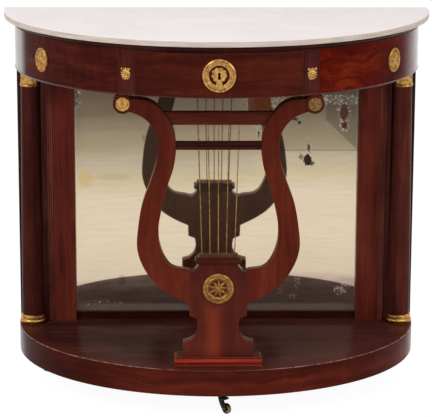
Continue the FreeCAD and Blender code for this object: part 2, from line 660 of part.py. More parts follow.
def patera_shape():
    """Oval patera around its own centre: a ring and a boss on a sunk web."""
    wide, high = cell("patera_half_width"), cell("patera_half_height")
    ring, boss = cell("patera_ring"), cell("patera_boss")
    web, front = cell("patera_web"), cell("patera_thickness")
    solid = oval(wide, high, -cell("patera_seat"), front)
    sunk = oval(wide - ring, high - ring, web, front)
    return solid.cut(sunk.cut(oval(boss * wide / high, boss, web, front)))


def build_frieze_mounts():
    """Oval paterae at the frieze's ends and lion masks on the stiles."""
    out = f"({CASE_HALF} - patera_inset)"
    turn = Rotation(Vector(0, 0, 1), face_turn(cell("case_width") / 2 - cell("patera_inset")))
    disc = feature("patera_disc", patera_shape())
    disc.Placement.Rotation = turn
    place(disc, out, face_depth(out), Z_ORNAMENT)
    pair("frieze_patera", combine("Cut", "frieze_patera_right", disc, nodes["frieze_panel_right"]))
    out = f"({STILE_INSIDE} + stile_width / 2)"
    turn = Rotation(Vector(0, 0, 1), face_turn((cell("drawer_opening") + cell("stile_width")) / 2))
    mask = doc.addObject("Part::Ellipsoid", "mask_blank")
    bind(mask, Radius1="mask_thickness", Radius2="mask_width / 2", Radius3="mask_height / 2")
    mask.Placement.Rotation = turn.multiply(Rotation(RIGHTWARD, 90))
    place(mask, out, face_depth(out), f"{Z_FRIEZE} + mask_rise")
    pair("lion_mask", combine("Cut", "lion_mask_right", mask, nodes["drawer_stile_right"]))


# -------------------------------------------------------------------- columns and mirror


def build_columns():
    """Tapered shafts with dowels, gilt capitals and gilt base rings."""
    out = f"({CASE_HALF} - column_inset)"
    foot = "ring_height"
    head = "(column_height - capital_height)"
    shaft = turned("column_shaft_right",
                   (("0", "0"), ("dowel_radius", "0"), ("dowel_radius", foot),
                    ("shaft_foot_radius", foot), ("shaft_top_radius", head),
                    ("dowel_radius", head), ("dowel_radius", "column_height"),
                    ("0", "column_height")), out, "column_depth", Z_BASE)
    pair("column_shaft", shaft)
    bore = "(dowel_radius + dowel_fit)"
    ring = turned("column_base_right",
                  ((bore, "0"), ("ring_radius - ring_soft", "0"), ("ring_radius", "ring_soft"),
                   ("ring_radius", "ring_torus - ring_soft"),
                   ("ring_radius - ring_soft", "ring_torus"), ("ring_collar", "ring_torus"),
                   ("ring_collar", "ring_height"), (bore, "ring_height")),
                  out, "column_depth", Z_BASE)
    pair("column_base", ring)
    capital = turned("column_capital_right",
                     ((bore, "0"), ("capital_ring_radius", "0"),
                      ("capital_ring_radius", "capital_ring"), ("capital_neck", "capital_ring"),
                      ("capital_neck", "capital_height - capital_ring"),
                      ("capital_radius", "capital_height - capital_ring / 2"),
                      ("capital_radius", "capital_height"), (bore, "capital_height")),
                     out, "column_depth", f"{Z_FRIEZE} - capital_height")
    pair("column_capital", capital)


def build_mirror():
    """Rear board, posts, reeded strips, rails and the mirror plate."""
    width = "(case_width - 2 * rear_board_inset)"
    keep("back_board", board("back_board", width, "rear_board", "column_height",
                             f"-{width} / 2", "rear_board", Z_BASE))
    post_front = "rear_board + post_depth"
    post = box("post_bar", "post_width", "post_depth", "column_height", MIRROR_HALF, post_front, Z_BASE)
    seat = box("glass_seat", f"2 * ({MIRROR_HALF} + mirror_rebate + rebate_play)",
               "glass + rebate_play",
               "column_height - mirror_foot_rail - mirror_head_rail"
               " + 2 * (mirror_rebate + rebate_play)",
               f"-({MIRROR_HALF} + mirror_rebate + rebate_play)",
               "rear_board + glass + rebate_play",
               f"{Z_BASE} + mirror_foot_rail - mirror_rebate - rebate_play")
    pair("back_panel", combine("Cut", "back_panel_right", post, seat))
    rail_front = "rear_board + mirror_rail_depth"
    foot = box("foot_rail_bar", f"2 * {MIRROR_HALF}", "mirror_rail_depth", "mirror_foot_rail",
               f"-{MIRROR_HALF}", rail_front, Z_BASE)
    keep("mirror_bottom_rail", combine("Cut", "mirror_bottom_rail", foot, seat))
    head = box("head_rail_bar", f"2 * {MIRROR_HALF}", "mirror_rail_depth", "mirror_head_rail",
               f"-{MIRROR_HALF}", rail_front, f"{Z_FRIEZE} - mirror_head_rail")
    keep("mirror_top_rail", combine("Cut", "mirror_top_rail", head, seat))
    glass_half = f"({MIRROR_HALF} + mirror_rebate)"
    keep("mirror_glass", board("mirror_glass", f"2 * {glass_half}", "glass",
                               "column_height - mirror_foot_rail - mirror_head_rail"
                               " + 2 * mirror_rebate", f"-{glass_half}", "rear_board + glass",
                               f"{Z_BASE} + mirror_foot_rail - mirror_rebate"))
    band = box("strip_band", "strip_width", "strip_depth", "column_height", POST_OUTSIDE,
               "rear_board + strip_depth", Z_BASE)
    step = box("strip_step", "2 * reed_count * reed_radius", "reed_depth", "column_height",
               POST_OUTSIDE, "rear_board + reed_depth", Z_BASE)
    strip = combine("Fuse", "strip_stepped", band, step)
    for number in range(int(cell("reed_count"))):
        reed = cylinder(f"reed_{number}", "reed_radius", "column_height",
                        f"{POST_OUTSIDE} + {2 * number + 1} * reed_radius",
                        "rear_board + reed_depth", Z_BASE)
        strip = combine("Fuse", f"strip_reeded_{number}", strip, reed)
    keep("reeded_strips", group("reeded_strips", strip, mirrored("strip_left", strip)))


# ----------------------------------------------------------------------------- the plinth


def build_plinth():
    """Two boards on a curved wall, a rear rail and the blocks over the casters."""
    top = plan_slab("plinth_top", "0", Z_BOARDS, "base_board")
    joint = f"({CASE_FRONT} - base_joint)"
    fore = box("board_front_part", "case_width", "base_joint", "base_board",
               f"-{CASE_HALF}", CASE_FRONT, Z_BOARDS)
    keep("base_board_front", combine("Common", "base_board_front", top, fore))
    aft = box("board_rear_part", "case_width", joint, "base_board", f"-{CASE_HALF}", joint, Z_BOARDS)
    keep("base_board_rear", combine("Common", "base_board_rear", top, aft))
    wall_height = "(plinth_height - base_board)"
    solid = plan_slab("plinth_solid", "0", "caster_height", wall_height)
    hollow = plan_slab("plinth_hollow", "plinth_wall", "caster_height", wall_height)
    keep("plinth_apron", combine("Cut", "plinth_apron", solid, hollow))
    inside = f"({CASE_HALF} - plinth_wall)"
    keep("plinth_rear_rail", board("plinth_rear_rail", f"2 * {inside}", "rear_rail", wall_height,
                                   f"-{inside}", "rear_rail", "caster_height"))
    blocks = []
    bounds = plan_slab("block_bounds", "plinth_wall", f"{Z_BOARDS} - caster_block_height",
                       "caster_block_height")
    for name, (x, depth) in caster_places().items():
        bar = box(f"block_bar_{name}", "caster_block", "caster_block", "caster_block_height",
                  f"{x} - caster_block / 2", f"{depth} + caster_block / 2",
                  f"{Z_BOARDS} - caster_block_height")
        blocks.append(combine("Common", f"caster_block_{name}", bounds, bar))
    keep("plinth_blocks", group("plinth_blocks", *blocks))


def caster_places():
    """Formulas of the swivel axes: x and depth for each caster."""
    out = f"({CASE_HALF} - rear_caster_inset)"
    return {"front": ("front_caster_out", f"({CASE_FRONT} - front_caster_setback)"),
            "rear_left": (f"-{out}", "rear_caster_depth"),
            "rear_right": (out, "rear_caster_depth")}


# ------------------------------------------------------------------------------- the lyre

ARM_PLACES = (("scroll", "drop"), ("crook", "drop"), ("shoulder", "drop"), ("bend", "drop"),
              ("waist", "drop"), ("narrow", "drop"), ("flare", "rise"), ("swell", "rise"),
              ("belly", "rise"), ("hip", "rise"), ("sweep", "rise"))


def smooth(points):
    """Smooth curve through points."""
    curve = Part.BSplineCurve()
    curve.interpolate(points)
    return curve.toShape()


def arm_shape():
    """Right arm: two smooth edges around a centre line of varying width."""
    base = cell("caster_height") + cell("plinth_height")
    frieze = base + cell("column_height")
    centres = []
    bands = []
    for place_name, kind in ARM_PLACES:
        level = cell(f"arm_{place_name}_{kind}")
        height = frieze - level if kind == "drop" else base + level
        centres.append(Vector(cell(f"arm_{place_name}_out"), 0, height))
        bands.append(cell(f"arm_{place_name}_band"))
    centres.append(Vector(cell("block_half"), 0, base + cell("arm_root_rise")))
    bands.append(cell("arm_root_band"))
    inner = []
    outer = []
    last = len(centres) - 1
    for number, (centre, band) in enumerate(zip(centres, bands)):
        along = centres[min(number + 1, last)] - centres[max(number - 1, 0)]
        if number == last:
            along = Vector(-1, 0, 0)
        across = Vector(along.z, 0, -along.x).normalize() * (band / 2)
        inner.append(centre + across)
        outer.append(centre - across)
    wire = Part.Wire([smooth(inner), Part.LineSegment(inner[-1], outer[-1]).toShape(),
                      smooth(outer[::-1]), Part.LineSegment(outer[0], inner[0]).toShape()])
    arm = Part.Face(wire).extrude(Vector(0, cell("lyre_thickness"), 0))
    face = rear_plane() - lyre_face()
    arm.translate(Vector(0, face, 0))
    proud = cell("scroll_proud")
    scroll = Part.makeCylinder(cell("scroll_radius"), cell("lyre_thickness") + proud,
                               centres[0] + Vector(0, face - proud, 0), Vector(0, 1, 0))
    whole = arm.fuse(scroll)
    reach = 2 * cell("arm_scroll_out")
    above = Part.makeBox(reach, reach, reach, Vector(0, -reach, frieze))
    return whole.cut(above).removeSplitter()


def rear_plane():
    """Y of the back plane."""
    return (cell("plan_centre") + cell("marble_bow")) / 2


def lyre_face():
    """Depth of the lyre's front face."""
    return cell("plan_centre") + cell("case_bow") - cell("lyre_setback")


def body_shape():
    """Block, ledge, waisted neck and foot of the lyre, in one outline."""
    base = cell("caster_height") + cell("plinth_height")

    def corner(half, rise):
        """Point on the right-hand outline."""
        return Vector(cell(half), 0, base + cell(rise))

    block = corner("block_half", "block_rise")
    cove = Vector(cell("cove_half"), 0, block.z)
    top = Vector(cell("cove_top_half"), 0, block.z + cell("cove_height"))
    chord = top - cove
    middle = (top + cove) / 2 - Vector(chord.z, 0, -chord.x).normalize() * cell("cove_sag")
    ledge = corner("step_half", "step_rise")
    under = Vector(block.x, 0, ledge.z)
    ledge_foot = corner("step_foot_half", "step_foot_rise")
    neck = [corner(f"neck_{part}half", f"neck_{part}rise") for part in ("top_", "", "flare_", "curl_")]
    foot = corner("foot_half", "foot_rise")
    neck.append(foot)
    floor = Vector(foot.x, 0, base + cell("foot_plate_height"))
    right = [Part.Arc(top, middle, cove).toShape()]
    for start, end in ((cove, block), (block, under), (under, ledge), (ledge, ledge_foot),
                       (ledge_foot, neck[0])):
        right.append(Part.LineSegment(start, end).toShape())
    right.append(smooth(neck))
    right.append(Part.LineSegment(foot, floor).toShape())
    centre_top = Vector(0, 0, top.z)
    centre_floor = Vector(0, 0, floor.z)
    right.append(Part.LineSegment(floor, centre_floor).toShape())
    right.append(Part.LineSegment(centre_floor, centre_top).toShape())
    right.append(Part.LineSegment(centre_top, top).toShape())
    half = Part.Face(Part.Wire(Part.__sortEdges__(right)))
    half_solid = half.extrude(Vector(0, cell("lyre_thickness"), 0))
    whole = half_solid.fuse(half_solid.mirror(Vector(0, 0, 0), RIGHTWARD)).removeSplitter()
    whole.translate(Vector(0, rear_plane() - lyre_face(), 0))
    return whole


def build_lyre():
    """Arms, block with neck, foot plate, shelf, bars, strings and gilt mounts."""
    arm = feature("lyre_arm_right", arm_shape())
    pair("lyre_arm", arm)
    keep("lyre_body", feature("lyre_body", body_shape()))
    plate = box("foot_plate_bar", "foot_plate_width", "foot_plate_depth", "foot_plate_height",
                "-foot_plate_width / 2", f"{LYRE_FACE} + foot_plate_lip", Z_BASE)
    keep("lyre_foot_plate", rounded("lyre_foot_plate", plate, cell("foot_plate_round"), True))
    cove_top = f"({Z_BASE} + block_rise + cove_height)"
    fillet = box("shelf_fillet", "2 * cove_top_half", "lyre_thickness", "shelf_fillet",
                 "-cove_top_half", LYRE_FACE, cove_top)
    slab = box("shelf_slab", "2 * shelf_half", "lyre_thickness + 2 * shelf_lip", "shelf_height",
               "-shelf_half", f"{LYRE_FACE} + shelf_lip", f"{cove_top} + shelf_fillet")
    soft = rounded("shelf_soft", slab, cell("shelf_round"), True)
    cap = box("shelf_cap", "2 * shelf_cap_half", "lyre_thickness + 2 * shelf_cap_lip",
              "shelf_cap_height", "-shelf_cap_half", f"{LYRE_FACE} + shelf_cap_lip",
              f"{cove_top} + shelf_fillet + shelf_height")
    capped = combine("Fuse", "shelf_capped", soft, cap)
    keep("lyre_string_shelf", combine("Fuse", "lyre_string_shelf", fillet, capped))
    arms = group("lyre_arms", nodes["lyre_arm_left"], arm)
    bar = box("upper_bar_blank", "2 * upper_bar_half", "upper_bar_thickness", "upper_bar_height",
              "-upper_bar_half", f"{LYRE_FACE} - upper_bar_setback",
              f"{Z_FRIEZE} - upper_bar_drop - upper_bar_height")
    keep("lyre_upper_bar", combine("Cut", "lyre_upper_bar", bar, arms))
    low_z = f"({Z_FRIEZE} - lower_bar_drop - lower_bar_height)"
    low = box("lower_bar_blank", "2 * lower_bar_half", "lower_bar_thickness", "lower_bar_height",
              "-lower_bar_half", f"{LYRE_FACE} - lower_bar_setback", low_z)
    for number in range(2):
        reed = cylinder(f"bar_reed_{number}", "lower_bar_height / 4", "2 * lower_bar_half",
                        "-lower_bar_half", f"{LYRE_FACE} - lower_bar_setback",
                        f"{low_z} + {2 * number + 1} * lower_bar_height / 4", RIGHTWARD)
        low = combine("Fuse", f"lower_bar_reeded_{number}", low, reed)
    keep("lyre_lower_bar", combine("Cut", "lyre_lower_bar", low, arms))
    keep("lyre_strings", group("lyre_strings", *strings()))
    medallion = turned("lyre_medallion",
                       (("0", "0"), ("medallion_radius", "0"),
                        ("medallion_radius", "medallion_thickness"),
                        ("medallion_radius - medallion_ring", "medallion_thickness"),
                        ("medallion_radius - medallion_ring", "medallion_web"),
                        ("medallion_ring", "medallion_web"),
                        ("medallion_ring", "medallion_thickness"), ("0", "medallion_thickness")),
                       "0", LYRE_FACE, f"{Z_BASE} + medallion_rise", FORWARD)
    keep("lyre_medallion", medallion)
    disc = cylinder("roundel_right", "roundel_radius", "roundel_thickness", "arm_scroll_out",
                    f"{LYRE_FACE} + scroll_proud", f"{Z_FRIEZE} - arm_scroll_drop", FORWARD)
    keep("lyre_roundels", group("lyre_roundels", disc, mirrored("roundel_left", disc)))


def strings():
    """Brass wires that spread from the shelf to the upper bar."""
    shelf_top = (cell("caster_height") + cell("plinth_height") + cell("block_rise")
                 + cell("cove_height") + cell("shelf_fillet") + cell("shelf_height")
                 + cell("shelf_cap_height"))
    bar_foot = (cell("caster_height") + cell("plinth_height") + cell("column_height")
                - cell("upper_bar_drop") - cell("upper_bar_height"))
    y = rear_plane() - lyre_face() + cell("string_setback")
    count = int(cell("string_count"))
    fit = cell("string_fit")
    wires = []
    for number in range(count):
        order = number - (count - 1) / 2
        foot = Vector(order * cell("string_spread_foot"), y, shelf_top + fit)
        head = Vector(order * cell("string_spread_top"), y, bar_foot - fit)
        wire = Part.makeCylinder(cell("string_radius"), (head - foot).Length, foot, head - foot)
        wires.append(feature(f"string_{number + 1}", wire))
    return wires


# ---------------------------------------------------------------------------- the casters


def horn_shape():
    """Pin, crown and fork of a caster, trailing along +X; the axle bore is left open."""
    crown = cell("crown_height")
    fork = cell("fork_height")
    block_foot = (cell("caster_height") + cell("plinth_height") - cell("base_board")
                  - cell("caster_block_height"))
    crown_rise = block_foot - cell("barrel_length") - cell("pin_play")
    drop = crown_rise - cell("wheel_radius")
    ear = cell("ear")
    gap = cell("wheel_width") / 2 + cell("wheel_play")
    trail = cell("trail")
    radius = cell("crown_radius")
    end = cell("ear_end")
    axle = cell("axle_radius")
    pin_length = block_foot - cell("pin_drop") - crown_rise
    pin = Part.makeCylinder(cell("pin_radius"), crown + pin_length, Vector(0, 0, -crown))
    disc = Part.makeCylinder(radius, crown + fork, Vector(0, 0, -crown - fork))
    half = gap + ear
    bridge = Part.makeBox(radius + trail, 2 * half, fork, Vector(-radius, -half, -crown - fork))
    trim = Part.makeCylinder(radius + trail, crown + fork, Vector(0, 0, -crown - fork))
    horn = pin.fuse(disc).fuse(bridge.common(trim))
    axle_point = Vector(trail, 0, -drop)
    level = -crown - fork / 2
    corner = end * math.cos(math.radians(45))
    corners = [Vector(-cell("ear_root"), 0, level), Vector(trail, 0, level),
               Vector(trail + end, 0, -drop), Vector(trail - corner, 0, -drop - corner)]
    plate = Part.Face(Part.makePolygon(corners + corners[:1])).extrude(Vector(0, ear, 0))
    knob = Part.makeCylinder(end, ear, axle_point, Vector(0, 1, 0))
    hole = Part.makeCylinder(axle, ear, axle_point, Vector(0, 1, 0))
    side = plate.fuse(knob).cut(hole)
    for shift in (gap, -gap - ear):
        one = side.copy()
        one.translate(Vector(0, shift, 0))
        horn = horn.fuse(one)
    return horn.removeSplitter()


def build_casters():
    """Fixed plates with barrels; swivelling horns, wheels and axles."""
    plates = []
    for name, (x, depth) in caster_places().items():
        turn = f"{name}_caster_turn"
        plate = turned(f"caster_plate_{name}",
                       (("pin_radius + pin_play", "0"), ("barrel_radius", "0"),
                        ("barrel_radius", "barrel_length - caster_plate"),
                        ("caster_plate_radius", "barrel_length - caster_plate"),
                        ("caster_plate_radius", "barrel_length"),
                        ("pin_radius + pin_play", "barrel_length")),
                       x, depth, f"{Z_BOARDS} - caster_block_height - barrel_length")
        plates.append(plate)
        horn = feature(f"caster_{name}_horn", horn_shape())
        horn.Placement.Rotation = Rotation(Vector(0, 0, 1), cell(turn))
        place(horn, x, depth, Z_CROWN)
        keep(f"caster_{name}_horn", horn)
        hub_x = f"{x} + trail * cos({turn})"
        hub_depth = f"{depth} - trail * sin({turn})"
        side = Rotation(Vector(0, 0, 1), cell(turn)).multVec(Vector(0, 1, 0))
        half = "(wheel_width / 2)"
        wheel = turned(f"caster_{name}_wheel",
                       (("axle_radius + pin_play", f"-{half}"),
                        ("wheel_radius - wheel_crown", f"-{half}"),
                        ("wheel_radius", f"-{half} + wheel_crown"),
                        ("wheel_radius", f"{half} - wheel_crown"),
                        ("wheel_radius - wheel_crown", half), ("axle_radius + pin_play", half)),
                       hub_x, hub_depth, "wheel_radius", side)
        keep(f"caster_{name}_wheel", wheel)
        reach = "(wheel_width / 2 + wheel_play + ear + axle_head)"
        axle = cylinder(f"caster_{name}_axle", "axle_radius", f"2 * {reach}",
                        f"{hub_x} + {reach} * sin({turn})", f"{hub_depth} + {reach} * cos({turn})",
                        "wheel_radius", side)
        keep(f"caster_{name}_axle", axle)
    keep("caster_plates", group("caster_plates", *plates))


# --------------------------------------------------------------------------------- export


def check_states():
    """Stop if an object is invalid, in error or without a proper shape."""
    for item in doc.Objects:
        if {"Invalid", "Error"} & set(item.State):
            raise RuntimeError(f"{item.Label}: {item.State}")
    for name, item in nodes.items():
        if item.Shape.isNull() or not item.Shape.isValid() or item.Shape.Volume <= 0:
            raise RuntimeError(f"{name}: no valid solid")


def main():
    """Build every sub-part, check the document and write one STEP file for each."""
    build_marble()
    build_top_frame()
    build_frieze()
    build_drawer_bearers()
    inner, outer = build_drawer()
    build_lock(inner)
    build_escutcheon(outer)
    build_frieze_mounts()
    build_columns()
    build_mirror()
    build_plinth()
    build_lyre()
    build_casters()
    doc.recompute()
    check_states()
    os.makedirs(OUT_FOLDER, exist_ok=True)
    for name, item in nodes.items():
        item.Shape.exportStep(os.path.join(OUT_FOLDER, f"{name}.step"))
        bounds = item.Shape.BoundBox
        print(f"{name:24s} x {bounds.XMin:8.1f} {bounds.XMax:8.1f}  y {bounds.YMin:8.1f}"
              f" {bounds.YMax:8.1f}  z {bounds.ZMin:7.1f} {bounds.ZMax:7.1f}"
              f"  solids {len(item.Shape.Solids)}")
    print(f"{len(nodes)} sub-parts")


main()
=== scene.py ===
"""Looks of a demilune pier table with a lyre support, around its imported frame."""
import logging
import math
from dataclasses import dataclass, field
from enum import Enum
from typing import Any, Callable, Sequence

import bmesh
import bpy
from mathutils import Matrix, Vector


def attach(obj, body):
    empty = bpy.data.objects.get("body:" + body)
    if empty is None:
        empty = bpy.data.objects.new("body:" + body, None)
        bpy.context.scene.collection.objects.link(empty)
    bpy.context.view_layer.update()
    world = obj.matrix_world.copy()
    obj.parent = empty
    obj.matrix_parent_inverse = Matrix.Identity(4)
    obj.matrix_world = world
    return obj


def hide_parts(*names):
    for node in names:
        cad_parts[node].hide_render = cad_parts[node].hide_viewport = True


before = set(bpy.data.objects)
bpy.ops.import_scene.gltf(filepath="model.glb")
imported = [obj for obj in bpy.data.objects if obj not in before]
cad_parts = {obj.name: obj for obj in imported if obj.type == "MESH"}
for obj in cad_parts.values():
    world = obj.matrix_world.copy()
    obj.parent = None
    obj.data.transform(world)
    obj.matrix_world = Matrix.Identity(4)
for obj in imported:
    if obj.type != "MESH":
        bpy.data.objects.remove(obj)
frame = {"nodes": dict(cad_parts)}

logging.basicConfig(level=logging.INFO, format="%(message)s")
log = logging.getLogger("pier_table")

MM = 0.001
SIDES = ((1, "right"), (-1, "left"))

Ring = tuple[float, float, float]


def srgb(red: int, green: int, blue: int) -> tuple[float, float, float, float]:
    """Linear colour of an 8-bit one.

    Args:
        red: red from 0 to 255.
        green: green from 0 to 255.
        blue: blue from 0 to 255.

    Returns:
        Linear red, green and blue, and an alpha of 1.
    """
    def linear(value: int) -> float:
        """Linear value of one 8-bit channel."""
        part = value / 255.0
        return part / 12.92 if part <= 0.04045 else ((part + 0.055) / 1.055) ** 2.4
    return linear(red), linear(green), linear(blue), 1.0


@dataclass(frozen=True)
class Plan:
    """Shared sizes of the table, in metres, in the row frame."""

    half: float = 0.457
    bow: float = 0.386
    back: float = 0.214
    centre: float = 0.194
    marble_half: float = 0.480
    marble_bow: float = 0.408
    z_plinth: float = 0.053
    z_boards: float = 0.092
    z_base: float = 0.112
    z_frieze: float = 0.719
    z_frame: float = 0.818
    z_marble: float = 0.8335
    z_top: float = 0.846
    lyre_face: float = -0.148
    lyre_back: float = -0.114

    def face_y(self, x: float, lip: float = 0.0) -> float:
        """Y of the case's curved face.

        Args:
            x: distance from the middle plane.
            lip: distance in front of the face.

        Returns:
            Y of the face at this x.
        """
        return self.centre - (self.bow + lip) * math.sqrt(1.0 - (x / (self.half + lip)) ** 2)

    def face_turn(self, x: float) -> float:
        """Angle about Z of the face's normal at x, in radians, against straight ahead."""
        ahead = self.centre - self.face_y(x)
        return math.atan2(x * self.bow ** 2, ahead * self.half ** 2)


PLAN = Plan()


# ----------------------------------------------------------------------- shader networks


class Net:
    """Node tree of one material or world, written as nested calls."""

    def __init__(self, name: str, owner: Any = None) -> None:
        """Start an empty material of this name, or empty what the owner has."""
        self.owner = owner or bpy.data.materials.new(name)
        self.owner.use_nodes = True
        self.tree = self.owner.node_tree
        self.tree.nodes.clear()

    def node(self, kind: str, inputs: dict | None = None, **settings: Any) -> bpy.types.Node:
        """Add a shader node.

        Args:
            kind: node type without its ShaderNode prefix.
            inputs: values or sockets for its inputs.
            **settings: properties of the node.

        Returns:
            The node.
        """
        made = self.tree.nodes.new("ShaderNode" + kind)
        for key, value in settings.items():
            setattr(made, key, value)
        for key, value in (inputs or {}).items():
            if isinstance(value, bpy.types.NodeSocket):
                self.tree.links.new(value, made.inputs[key])
            else:
                made.inputs[key].default_value = value
        return made

    def math(self, operation: str, *values: Any, clamp: bool = False) -> bpy.types.NodeSocket:
        """Output of a Math node over up to three values or sockets."""
        made = self.node("Math", dict(enumerate(values)), operation=operation, use_clamp=clamp)
        return made.outputs[0]

    def times(self, first: Any, second: Any) -> bpy.types.NodeSocket:
        """Product of two values."""
        return self.math("MULTIPLY", first, second)

    def plus(self, first: Any, second: Any) -> bpy.types.NodeSocket:
        """Sum of two values."""
        return self.math("ADD", first, second)

    def minus(self, first: Any, second: Any) -> bpy.types.NodeSocket:
        """First value less the second."""
        return self.math("SUBTRACT", first, second)

    def over(self, first: Any, second: Any) -> bpy.types.NodeSocket:
        """First value divided by the second."""
        return self.math("DIVIDE", first, second)

    def scaled(self, value: Any, factor: Any, offset: Any) -> bpy.types.NodeSocket:
        """Value times a factor, plus an offset."""
        return self.math("MULTIPLY_ADD", value, factor, offset)

    def larger(self, first: Any, second: Any) -> bpy.types.NodeSocket:
        """Larger of two values."""
        return self.math("MAXIMUM", first, second)

    def size(self, value: Any) -> bpy.types.NodeSocket:
        """Value without its sign."""
        return self.math("ABSOLUTE", value)

    def smooth(self, value: Any, low: Any, high: Any, start: float = 0.0,
               end: float = 1.0) -> bpy.types.NodeSocket:
        """Smooth step of a value between two limits."""
        made = self.node("MapRange", {"Value": value, "From Min": low, "From Max": high,
                                      "To Min": start, "To Max": end},
                         interpolation_type="SMOOTHSTEP")
        return made.outputs[0]

    def smooth_line(self, value: Any, low: float, high: float) -> bpy.types.NodeSocket:
        """Place of a value between two limits, from 0 to 1."""
        return self.node("MapRange", {"Value": value, "From Min": low, "From Max": high},
                         clamp=True).outputs[0]

    def mix(self, factor: Any, first: Any, second: Any,
            blend: str = "MIX") -> bpy.types.NodeSocket:
        """Mix of two colours."""
        made = self.node("Mix", {0: factor, 6: first, 7: second}, data_type="RGBA",
                         blend_type=blend)
        return made.outputs[2]

    def ramp(self, factor: Any, *stops: tuple) -> bpy.types.NodeSocket:
        """Colour ramp with (position, colour) stops."""
        made = self.node("ValToRGB", {0: factor})
        steps = made.color_ramp.elements
        while len(steps) < len(stops):
            steps.new(0.5)
        for step, (position, colour) in zip(steps, stops):
            step.position = position
            step.color = colour
        return made.outputs[0]

    def noise(self, vector: Any, scale: float = 1.0, detail: float = 3.0, rough: float = 0.55,
              distortion: float = 0.0) -> bpy.types.NodeSocket:
        """Value of a noise texture at a vector."""
        made = self.node("TexNoise", {"Vector": vector, "Scale": scale, "Detail": detail,
                                      "Roughness": rough, "Distortion": distortion})
        return made.outputs[0]

    def place(self) -> tuple[bpy.types.NodeSocket, ...]:
        """X, Y and Z of the shaded point in the row frame, in millimetres."""
        coordinates = self.node("TexCoord").outputs["Object"]
        parts = self.node("SeparateXYZ", {0: coordinates}).outputs
        return tuple(self.math("MULTIPLY", parts[k], 1000.0) for k in range(3))

    def vector(self, *parts: Any) -> bpy.types.NodeSocket:
        """Vector of three values or sockets; a pair is a value and what divides it."""
        parts = [self.over(*part) if isinstance(part, tuple) else part for part in parts]
        return self.node("CombineXYZ", dict(enumerate(parts))).outputs[0]

    def bump(self, height: Any, distance: float, strength: float = 1.0,
             normal: Any = None) -> bpy.types.NodeSocket:
        """Normal bent by a height; the distance is in metres."""
        inputs = {"Height": height, "Distance": distance, "Strength": strength}
        if normal is not None:
            inputs["Normal"] = normal
        return self.node("Bump", inputs).outputs[0]

    def surface(self, inputs: dict) -> bpy.types.Material:
        """Finish the material with one Principled shader over these inputs."""
        shader = self.node("BsdfPrincipled", inputs)
        self.node("OutputMaterial", {"Surface": shader.outputs[0]})
        return self.owner


class Grain(Enum):
    """Way in which the grain of a piece runs."""

    UPRIGHT = "upright"
    LENGTHWISE = "lengthwise"
    BOWED = "bowed"
    FLAT = "flat"
    BOWED_UPRIGHT = "bowed upright"


